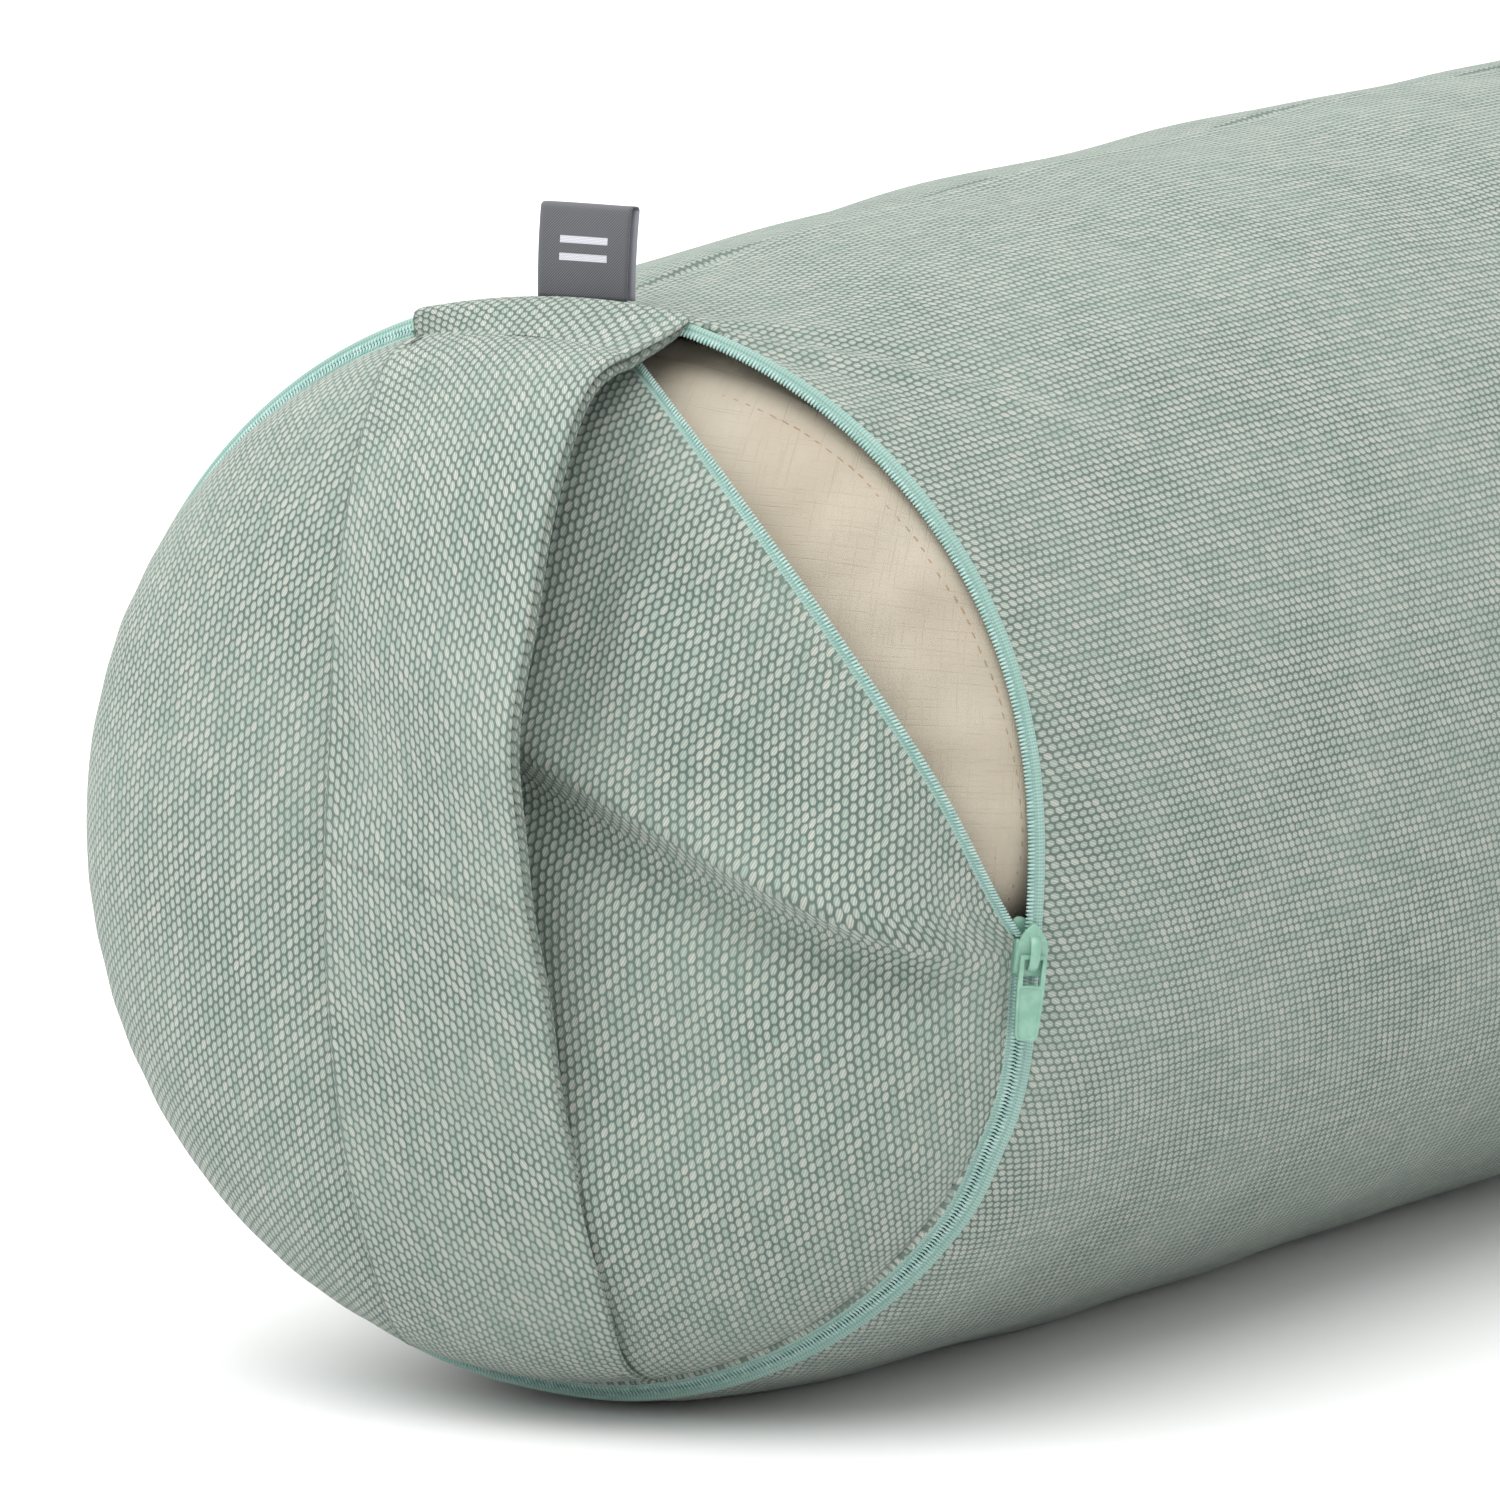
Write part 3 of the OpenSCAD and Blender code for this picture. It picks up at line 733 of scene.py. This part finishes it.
def tape(name, theta, side):
    """One side of the zip: a smooth fold next to the cover and a lower ribbed lip at the teeth."""
    line, away, normal = band_frame(theta, side)
    across, out = np.array([
        (0.30, 0.05), (0.42, 0.32), (0.75, 0.48), (1.10, 0.48), (1.42, 0.34), (1.60, 0.26),
        (1.85, 0.54), (2.35, 0.72), (2.85, 0.56), (3.2, 0.16), (3.4, -0.20), (1.9, -0.25),
        (0.5, -0.20)]).T * MM
    points = line[:, None] + away[:, None] * across[:, None] + normal[:, None] * out[:, None]
    if side > 0:
        points = points[:, ::-1]
        across = across[::-1]
    length = path_length(line)
    girth = np.append(across, across[0])
    coords = column(girth[None, :], length[:, None])
    obj = solid_grid(name, points, coords)
    return dress(obj, TAPE)


def teeth(name, start, end, side, shift):
    count = int((end - start) * ZIP_R / TOOTH_PITCH)
    theta = start + (np.arange(count) + shift) * (end - start) / count
    line, away, normal = band_frame(theta, side)
    centre = line + away * 0.00062 + normal * 0.00040
    obj = capsules(name, centre, away, normal, TOOTH_L, TOOTH_R, curve=0.00016)
    return dress(obj, NYLON)


def zip_sides():
    span = np.linspace(0, 1, 420)[:, None]
    around = (START + (END - START) * span).ravel()
    closed = around[around > FLAP_END - 0.02]
    closed = np.concatenate([[FLAP_END], closed[closed > FLAP_END + 0.002]])
    opened = START + (FLAP_END - START) * np.linspace(0.0, 1, 160)
    rows = [
        ("tube_side", around, START, END, 1, 0.0, "bolster"),
        ("panel_side", closed, FLAP_END, END, -1, 0.5, "bolster"),
        ("flap_side", opened[:-1], START, FLAP_END - 0.002, -1, 0.5, None),
    ]
    for label, theta, start, end, side, shift, body in rows:
        strip = tape("zip_tape_" + label + "_weave", theta, side)
        coil = teeth("zip_teeth_" + label, start + 0.02, end - 0.004, side, shift)
        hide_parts("zip_tape_" + label)
        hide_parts("zip_coil_" + label)
        for piece in (strip, coil):
            if body:
                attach(piece, body)
            else:
                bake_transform(piece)


def top_stop():
    """The ribbed crimp over the zip's end, low enough to lie under the strap."""
    line, away, normal = band_frame(START + 0.0075 * np.array([-1.0, 0, 1]), 1)
    centre = line + normal * 0.0002
    crimp = capsules("zip_top_stop_crimp", centre, away, normal, 0.0034, 0.00055, curve=0.0002)
    dress(crimp, ENAMEL)
    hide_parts("zip_top_stop")
    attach(crimp, "bolster")


def slider_frame():
    """The slider's own axes: across the band, along the rim downwards, and out of the band."""
    mouth = SLIDER - math.radians(2.3)
    radial = outwards(mouth)
    normal = unit(radial - BEHIND)
    down = downwards(mouth)
    across = unit(radial + BEHIND)
    return rim(mouth) + across * 0.0010, across, down, normal


def outline_plate(outline, corner, low, high, bevel=0.0003, crown=None):
    """Points of a plate with rounded edges from a closed outline of (across, down) pairs, in mm."""
    outline = np.array(rounded(outline, corner)) * MM
    low, high = low * MM, high * MM
    middle = outline.mean(0)
    away = unit(outline - middle)
    rows = []
    for inset, level in ((bevel * 3, low), (bevel * 0.3, low), (0, low + bevel), (0, high - bevel),
                         (bevel * 0.3, high - bevel * 0.3), (bevel * 1.1, high)):
        rows.append(np.column_stack([outline - away * inset, np.full(len(outline), level)]))
    for share in (0.75, 0.5, 0.25, 0.04):
        ring = middle + (outline - middle) * share
        level = high + (crown(ring[:, 0]) if crown else np.zeros(len(ring)))
        rows.append(np.column_stack([ring, level]))
    return np.array(rows)


def side_plates(outline, *sizes):
    """A plate on the right and its mirror image on the left."""
    return [outline_plate([(sign * a, d) for a, d in outline][::sign], *sizes) for sign in (-1, 1)]


def rows_to_object(name, stacks, origin, axes):
    """Joins stacks of closed outlines, given in the slider's axes, into one mesh."""
    verts, faces, start = [], [], 0
    for rows in stacks:
        n, m = rows.shape[:2]
        world = origin + rows.reshape(-1, 3) @ np.array(axes)
        ids, _ = grid_faces(n, m, True, offset=start)
        faces += ids.tolist() + [[start + k for k in range(m)][::-1],
                                 [start + (n - 1) * m + k for k in range(m)]]
        verts.append(world)
        start += n * m
    return mesh_object(name, np.concatenate(verts), faces)


def mirrored(points):
    """A closed outline from its right-hand half, listed from the top down."""
    return points + [(-a, d) for a, d in points[::-1] if a > 1e-9]


def rounded(outline, radius):
    """The outline with every corner cut to a short arc."""
    pts = [np.array(p, float) for p in outline]
    out = []
    for before, here, after in zip(pts[-1:] + pts[:-1], pts, pts[1:] + pts[:1]):
        to_b, to_a = before - here, after - here
        reach = min(radius, 0.45 * np.linalg.norm(to_b), 0.45 * np.linalg.norm(to_a))
        b, a = (here + to / np.linalg.norm(to) * reach for to in (to_b, to_a))
        for t in np.linspace(0, 1, 4):
            out.append((1 - t) ** 2 * b + 2 * t * (1 - t) * here + t * t * a)
    return out


def hump(across):
    """Rise of the top plate along its middle."""
    return 0.55 * MM * np.exp(-(across / (1.5 * MM)) ** 2)


def slider_pieces():
    origin, across, down, normal = slider_frame()
    axes = (across, down, normal)
    lobes = mirrored([(0, -4.6), (1.1, -5.3), (2.2, -5.5), (3.1, -5.0), (3.45, -3.6), (3.2, -1.6),
                      (2.9, 1.0), (2.85, 4.6), (2.3, 5.0)])
    under = outline_plate(lobes, 0.8, -1.35, -0.65)
    arch = mirrored([(0, -5.0), (0.9, -4.3), (1.9, -3.1), (2.7, -1.5), (3.05, 0.3), (3.05, 4.0),
                     (2.4, 4.9)])
    top = outline_plate(arch, 0.7, 1.75, 2.5, crown=hump)
    walls = side_plates([(2.45, -1.9), (3.1, -1.6), (3.1, 4.6), (2.45, 4.7)], 0.3, 0.65, 2.2)
    post = [(-0.5, -4.7), (0.5, -4.7), (0.35, -2.6), (-0.35, -2.6)]
    post = outline_plate(post, 0.3, -0.8, 2.0, bevel=0.0001)
    body = rows_to_object("slider_housing", [under, top, *walls, post], origin, axes)
    # the lug is a flat bar bent over the top plate
    t = np.linspace(0, math.pi, 17)
    spine = column(0 * t, 0.6 - 3.0 * np.cos(t), 2.3 + 2.3 * np.sin(t) ** 0.75) * MM
    tangent = unit(np.gradient(spine, axis=0))
    aside = np.tile([1.0, 0, 0], (len(t), 1))
    out = unit(np.cross(tangent, aside))
    ring = np.linspace(0, TURN, 17)[:-1]
    lug = spine[:, None] + aside[:, None] * (0.95 * MM * np.cos(ring))[:, None] + \
        out[:, None] * (0.42 * MM * np.sin(ring))[:, None]
    bridge = rows_to_object("slider_lug", [lug], origin, axes)
    for piece, node in ((body, "zip_slider_body"), (bridge, "zip_slider_bridge")):
        dress(piece, ENAMEL)
        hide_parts(node)
        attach(piece, "zip_slider")
    pull_piece(origin, axes)


def pull_piece(origin, axes):
    """The pull: an eye bar, two rails and a long tab with a raised rim round a sunk field."""
    y0, level = 1.2, 3.55
    bar_t = np.linspace(-2.35, 2.35, 9)[:, None]
    ring = np.linspace(0, TURN, 13)[:-1]
    stacks = [column(bar_t, y0 + 0.5 * np.cos(ring), level + 0.5 * np.sin(ring)) * MM]
    rail = [(1.75, y0 - 0.4), (2.5, y0 - 0.4), (2.62, 6.9), (1.65, 6.9)]
    stacks += side_plates(rail, 0.25, level - 0.42, level + 0.48, 0.00018)
    tab = mirrored([(0, 6.3), (2.62, 6.4), (2.5, 10.5), (2.2, 15.6), (1.8, 16.5), (0, 16.65)])
    tab = np.array(rounded(tab, 0.4)) * MM
    middle = tab.mean(0)
    rows = []
    for share, low in ((0.90, -0.42), (0.985, -0.42), (1.0, -0.28), (1.0, 0.30), (0.985, 0.46),
                       (0.93, 0.50), (0.86, 0.48), (0.80, 0.34), (0.76, 0.16), (0.70, 0.12),
                       (0.4, 0.12), (0.05, 0.12)):
        stretch = share if share < 0.7 else [share - (1 - share) * 0.15, 1 - (1 - share) * 0.45]
        flat = middle + (tab - middle) * stretch
        rows.append(np.column_stack([flat, np.full(len(tab), (level + low) * MM)]))
    stacks.append(np.array(rows))
    pull = rows_to_object("slider_pull", stacks, origin, axes)
    dress(pull, ENAMEL)
    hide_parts("zip_pull")
    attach(pull, "pull")


# -------------------- strap
STRAP_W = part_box("handle_grip")[1].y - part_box("handle_grip")[0].y
STRAP_T = 0.0036


def through(knots, count):
    """Points of a smooth curve through the knots."""
    knots = np.array(knots, float)
    t = np.linspace(0, len(knots) - 1, count)
    i = np.clip(t.astype(int), 0, len(knots) - 2)
    f = (t - i)[:, None]
    padded = np.vstack([2 * knots[0] - knots[1], knots, 2 * knots[-1] - knots[-2]])
    p0, p1, p2, p3 = (padded[i + k] for k in range(4))
    return 0.5 * (2 * p1 + (p2 - p0) * f + (2 * p0 - 5 * p1 + 4 * p2 - p3) * f ** 2
                  + (3 * p1 - p0 - 3 * p2 + p3) * f ** 3)


# both edges of the strap from the top seam to the bottom seam, in mm: the free edge stands off the
# cushion (out of the zip plane, towards -Y, above the axis), the other lies on it (towards -Y, up)
FREE_EDGE = [(-2.5, 25.0, 99.9), (1.5, 24.6, 99.6), (9, 24.4, 98.0), (20, 24.5, 95.6),
             (32.5, 24.5, 92.2), (41, 24.5, 86.8), (48.4, 24.5, 78.2), (54.6, 24.5, 67.5),
             (60, 24.5, 54), (63.6, 24.5, 38), (64.3, 24.5, 21), (61.5, 24.5, 1),
             (54.8, 24.5, -19.4), (45.6, 24.5, -44.8), (39.8, 25, -60), (32.5, 25.3, -74),
             (22.5, 24, -86), (9.5, 21.5, -93.8), (1, 20, -97.5)]
LYING_EDGE = [(-29.6, 99.0), (-30.0, 98.7), (-30.2, 97.0), (-29.8, 93.8), (-28.8, 89.8),
              (-27.7, 84.8), (-26.7, 78.5), (-25.6, 70), (-24.9, 58), (-24.5, 43), (-24.5, 27),
              (-24.5, 6), (-24.5, -15), (-24, -41), (-23.5, -56), (-22.8, -70), (-23.5, -82),
              (-26, -90.5), (-28.5, -94.5)]


def strap_section():
    """Outline across the two layers, both ways from -1 to 1, with a groove at both edges."""
    half, t = STRAP_W / 2, STRAP_T / 2
    face = np.linspace(-1, 1, 27) * (half - 0.0008)
    turn = np.linspace(0, math.pi, 7)[1:-1]
    arcs = [[(middle + 0.0008 * math.sin(a), height + 0.0006 * math.cos(a)) for a in turn]
            for middle, height in ((half - 0.0008, t - 0.0006), (half - 0.0014, -t + 0.0006))]
    right = arcs[0] + [(half - 0.0034, 0.0)] + arcs[1]
    left = [(-a, n) for a, n in right][::-1]
    outline = np.array([(a, t) for a in face] + right + [(a, -t) for a in face[::-1]] + left)
    return outline[:, 0] / half, outline[:, 1] / t, path_length(np.vstack([outline, outline[:1]]))


def strap():
    """Two layers of cover cloth between the edges, crowned across and clear of the panel."""
    rows = 230
    free, lying = through(FREE_EDGE, rows) / 1000, through(LYING_EDGE, rows) / 1000
    share = np.linspace(0, 1, rows)
    lying_out = dome(np.hypot(lying[:, 0], lying[:, 1])) + 0.0030
    at_seam = lying_out * smooth(-0.03, 0.1, share) - 0.0015 * smooth(0.08, 0, share)
    lying_out = np.where(share < 0.1, at_seam, lying_out)
    lying = np.column_stack([lying_out, lying])
    middle = (free + lying) / 2
    chord = (free - lying) / 2
    along = unit(np.gradient(middle, axis=0))
    out = unit(np.cross(unit(chord), along))
    out = out * np.sign(out[:, :1] + out[:, 2:] * np.sign(middle[:, 2:]))
    across, level, girth = strap_section()
    crown = 0.0016 + 0.0011 * smooth(0.2, 0.0, share) - 0.0008 * smooth(0.9, 1.0, share)
    thick = STRAP_T / 2 * (1 - 0.42 * smooth(0.22, 0.0, share) - 0.35 * smooth(0.88, 1.0, share))
    length = path_length(middle)
    face = (length[:, None] + 0 * across, across[None, :] * 0.016)
    sway = 0.0007 * ripple(41, face, (0.03, 0.07))
    sway = sway * smooth(0, 0.1, share)[:, None] * smooth(1, 0.9, share)[:, None]
    lift = crown[:, None] * (1 - across ** 2) + sway + (level[None, :] - 1) * thick[:, None]
    points = middle[:, None] + chord[:, None] * across[None, :, None]
    points = points + out[:, None] * lift[..., None]
    radius = from_axis(points)
    bed = np.where(radius < PANEL_R, dome(radius) + panel_relief(points[..., 1], points[..., 2]), 0)
    bed = bed + 0.0007 + (level + 1) * thick[:, None]
    clear = np.maximum(points[..., 0], bed)
    points[..., 0] = np.where(share[:, None] > 0.12, clear, points[..., 0])
    points = RING + points * [-1, -1, 1]
    coords = column(girth[None, :], length[:, None])
    cut = int(np.argmin(np.abs(middle[:, 2])))
    for name, part, nodes, start, end in (
            ("strap_upper", slice(0, cut + 1), ("handle_top_end", "handle_grip"), 0.090, 0.045),
            ("strap_lower", slice(cut, None), ("handle_bottom_end",), -0.088, -0.045)):
        obj = cloth(name, points[part], coords[part], thickness=0.0006, wrap=True, crisp=True)
        dress(obj, SAGE)
        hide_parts(*nodes)
        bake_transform(obj)


# -------------------- label
def side_label():
    """A ribbon folded in half, its ends caught in the top seam, its back a little to one side."""
    low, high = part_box("side_label")
    x0, y0 = (low.x + high.x) / 2, (low.y + high.y) / 2 + 0.0018
    width, tall = high.y - low.y - 0.0006, high.z - low.z - 0.0010
    base = low.z - 0.0026
    gap = 0.0007
    rise = np.linspace(0, tall - gap, 22)
    turn = np.linspace(0, math.pi, 9)[1:-1]
    front = np.stack([np.full_like(rise, -gap), rise], -1)
    loop = np.stack([-gap * np.cos(turn), tall - gap + gap * np.sin(turn)], -1)
    back = np.stack([np.full_like(rise, gap), rise[::-1]], -1)
    path = np.concatenate([front, loop, back])
    length = path_length(path)
    side = np.linspace(-1, 1, 21)
    taper = 1 - 0.035 * (1 - path[:, 1] / tall)
    shift = 0.0007 * smooth(0.0, 1.0, path[:, 0] / gap * 0.5 + 0.5)
    y = side[None, :] * width / 2 * taper[:, None] - shift[:, None]
    lean = 0.0016 * (path[:, 1] / tall) ** 2
    wave = 0.0004 * np.sin(side * 2.2 + 0.4)[None, :] * (path[:, 1] / tall)[:, None]
    x = path[:, :1] + lean[:, None] + wave
    points = np.stack([x0 + x, y0 + y, np.broadcast_to(base + path[:, 1:], x.shape)], -1)
    coords = column(side[None, :] * width / 2, length[:, None])
    obj = cloth("woven_label", points, coords, thickness=0.00035, flip=True)
    dress(obj, SATIN)
    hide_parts("side_label")
    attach(obj, "label")


# -------------------- inner cushion
INNER_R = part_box("inner_tube")[1].y
INNER_SEAM_R = 0.0955
CASING_T = 0.0006
CASING_GAP = 0.0026  # the casing keeps this far inside the cover


def inner_dome(radius):
    """How far the casing's front stands out of the zip plane."""
    return 0.0440 * np.sqrt(1 - (radius / (INNER_SEAM_R + 0.002)) ** 2.6) - 0.0085


INNER_SEAM_X = -inner_dome(INNER_SEAM_R)


def inner_pucker(theta, d):
    """Small radial gathers either side of the end seams."""
    arc = INNER_R * theta
    fine = ripple(51, (arc, d * 0.25), (0.009, 0.017), 6)
    broad = ripple(52, (arc, d), (0.030, 0.070))
    return 0.0009 * np.exp(-d / 0.010) * fine + 0.0007 * smooth(0, 0.03, d) * broad


def settled(points):
    """The casing's front, a little sunk, swollen in the open stretch and drawn in elsewhere."""
    p = points - RING
    radius, theta = from_axis(p), np.arctan2(-p[..., 1], p[..., 2])
    degrees = np.degrees(theta)
    line = rim(np.remainder(theta, TURN)) - RING
    drawn = np.maximum(ZIP_R - from_axis(line), 0)
    opened = smooth(-8, 6, degrees) * smooth(100, 86, degrees)
    swell = 0.0055 * smooth(0, 42, degrees) * smooth(98, 80, degrees)
    swell = swell - 0.0032 * (1 - opened) - drawn
    edge = np.minimum(radius / INNER_SEAM_R, 1) ** 8
    fade = np.exp(-np.maximum(p[..., 0], 0) / 0.04)
    p[..., 1:] *= (1 + swell * fade * edge / np.maximum(radius, 1e-9))[..., None]
    p[..., 0] += 0.0050 * fade * edge
    height = np.clip(p[..., 2:] / INNER_SEAM_R, -1, 1) / 2 + 0.5
    p = p + np.array([0, -0.0012, -0.0030]) * fade[..., None] * height
    x = p[..., 0]
    inside = tube_radius(np.maximum(x, HEM_X)) - sag(x, theta) \
        - drawn * np.exp(-np.maximum(x, 0) / RIM_REACH) - CASING_GAP
    p[..., 1:] *= np.minimum(1, inside / np.maximum(from_axis(p), 1e-9))[..., None]
    return RING + p


def inner_front():
    theta = np.linspace(0, TURN, 361)
    steps = disc_steps(80)
    r = steps[:, None] * np.full(360, INNER_SEAM_R)
    d = INNER_SEAM_R - r
    rise = inner_dome(r) + inner_pucker(theta[None, :-1], d) * smooth(0, 0.004, d)
    points = settled(polar(-rise, r, theta[:-1]))
    coords = disc_coords(points, INNER_SEAM_R * steps[0], theta)
    obj = cloth("casing_front", points, coords, thickness=CASING_T, wrap=True)
    finish_casing(obj, "inner_front_disc")


def inner_side():
    """The casing's long side, from the front seam to the back seam."""
    theta = np.linspace(0, TURN, 361)
    t = np.linspace(0, 1, 34)
    shoulder_x = INNER_SEAM_X + 0.050 * t
    shoulder_r = INNER_SEAM_R + (INNER_R - INNER_SEAM_R) * (1 - (1 - t) ** 2.4)
    straight = np.linspace(shoulder_x[-1], FAR_X - 0.056, 60)[1:]
    x = np.concatenate([shoulder_x, straight, FAR_X - 0.004 - shoulder_x[::-1][1:] + INNER_SEAM_X])
    radius = np.concatenate([shoulder_r, np.full(59, INNER_R), shoulder_r[::-1][1:]])
    d = np.minimum(x - x[0], x[-1] - x)
    bump = inner_pucker(theta[None, :-1], d[:, None]) * smooth(0, 0.004, d)[:, None]
    limit = tube_radius(np.maximum(x, HEM_X))[:, None]
    limit = limit - sag(x[:, None], theta[None, :-1]) - CASING_GAP
    points = settled(polar(x[:, None], np.minimum(radius[:, None] + bump, limit), theta[None, :-1]))
    points = above_floor(points, 0.0024)
    length = np.concatenate([[0], np.hypot(np.diff(x), np.diff(radius)).cumsum()])
    coords = column(INNER_R * theta[None, :], length[:, None])
    obj = cloth("casing_side", points, coords, thickness=CASING_T, wrap=True, flip=True)
    finish_casing(obj, "inner_tube")
    return x[-1]


def inner_back(x_seam):
    theta = np.linspace(0, TURN, 181)
    steps = disc_steps(40)
    r = steps[:, None] * np.full(180, INNER_SEAM_R)
    rise = (FAR_CROWN - 0.006) * np.sqrt(1 - steps[:, None] ** 2.6) + 0 * r
    points = polar(x_seam + rise, r, theta[:-1])
    coords = column(r[:, :1] * np.sin(theta), r[:, :1] * np.cos(theta))
    obj = cloth("casing_back", points, coords, thickness=CASING_T, wrap=True, flip=True)
    finish_casing(obj, "inner_back_disc")


def finish_casing(obj, node):
    dress(obj, CALICO)
    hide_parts(node)
    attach(obj, "bolster")


def inner_thread(x_back):
    """Stitches round both end seams of the casing."""
    theta = np.linspace(0, TURN, 233)[:-1]
    along = downwards(theta)
    radial = outwards(theta)
    inset = np.full_like(theta, 0.0022)
    stitched_r = INNER_SEAM_R - inset
    rise = inner_dome(stitched_r) + inner_pucker(theta, inset) * smooth(0, 0.004, inset) + 0.00075
    front = settled(polar(-rise, stitched_r, theta))
    rear = polar(np.full_like(theta, x_back + 0.0004), INNER_SEAM_R + 0.0003, theta)
    front_out = unit(radial - 0.6 * BEHIND)
    rear_out = unit(radial + BEHIND)
    obj = capsules("casing_stitches", np.concatenate([front, rear]), np.concatenate([along, along]),
                   np.concatenate([front_out, rear_out]), 0.0018, 0.00026)
    dress(obj, COTTON_THREAD)
    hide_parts("inner_seam_thread")
    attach(obj, "bolster")


def husk_filling():
    """The lumpy mass of husks that fills the casing."""
    theta = np.linspace(0, TURN, 121)
    t = np.linspace(0, math.pi, 90)
    x = FAR_X / 2 - (FAR_X / 2 + 0.030) * np.cos(t)
    radius = (INNER_R - 0.003) * np.sin(t) ** 0.16 * smooth(-0.02, 0.03, np.sin(t))
    turn = theta[None, :-1]
    spots = (x[:, None] + 0 * turn, INNER_R * np.cos(turn), INNER_R * np.sin(turn))
    lumps = 0.0012 * ripple(61, spots, (0.012, 0.03), 8) - 0.0025
    inset = np.maximum(radius[:, None] * 0.96 + lumps * (radius[:, None] > 0.02), 0.0005)
    points = above_floor(polar(x[:, None], inset, turn), 0.0050)
    coords = column(INNER_R * theta[None, :], x[:, None])
    obj = solid_grid("husk_fill", points[:, ::-1], coords)
    dress(obj, HUSKS)
    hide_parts("filling")
    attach(obj, "bolster")


# -------------------- build
cover_tube()
tube_thread()
end_panel()
far_end_panel()
far_seam_thread()
zip_sides()
top_stop()
slider_pieces()
strap()
side_label()
inner_front()
casing_end = inner_side()
inner_back(casing_end)
inner_thread(casing_end)
husk_filling()
frame["nodes"]["zip_bottom_stop"].data.materials.clear()
frame["nodes"]["zip_bottom_stop"].data.materials.append(ENAMEL)


# -------------------- floor, light and camera
def floor():
    s = Shader("studio_floor", 0.9, specular=0.1)
    tone = s.ramp(s.noise(s.spot(), 3.0, 2.0), 0.3, 0.7)
    s.finish(s.mix(tone, (0.83, 0.83, 0.83, 1), (0.85, 0.85, 0.85, 1)))
    corners = np.array([(-1, -1, 0), (1, -1, 0), (1, 1, 0), (-1, 1, 0)]) * 30.0
    obj = mesh_object("studio_floor", corners, [(0, 1, 2, 3)])
    obj.data.materials.append(s.material)


def studio():
    world = bpy.data.worlds.new("studio")
    bpy.context.scene.world = world
    world.use_nodes = True
    background = world.node_tree.nodes["Background"]
    background.inputs["Color"].default_value = (1, 1, 1, 1)
    background.inputs["Strength"].default_value = 1.00
    key = bpy.data.lights.new("key", "SUN")
    key.energy, key.angle = 3.25, math.radians(85)
    obj = placed("key", key)
    obj.rotation_mode = "QUATERNION"
    obj.rotation_quaternion = Vector((0.8, -0.30, -1.9)).to_track_quat("-Z", "Y")
    bpy.context.scene.view_settings.view_transform = "Standard"


def camera():
    turn, drop, distance = math.radians(29.0), math.radians(8.15), 3.0
    level = math.cos(drop)
    forward = Vector((level * math.cos(turn), level * math.sin(turn), -math.sin(drop)))
    right = forward.cross(Vector((0, 0, 1))).normalized()
    up = right.cross(forward)
    data = bpy.data.cameras.new("camera")
    data.sensor_width, data.lens = 36, 390.9
    data.clip_end = 100
    obj = placed("camera", data)
    place = Vector(RING) - forward * distance + right * 0.03295 + up * 0.01822
    turned_axes = Matrix((right, up, -forward)).transposed().to_4x4()
    obj.matrix_world = Matrix.Translation(place) @ turned_axes
    bpy.context.scene.camera = obj


floor()
studio()
camera()
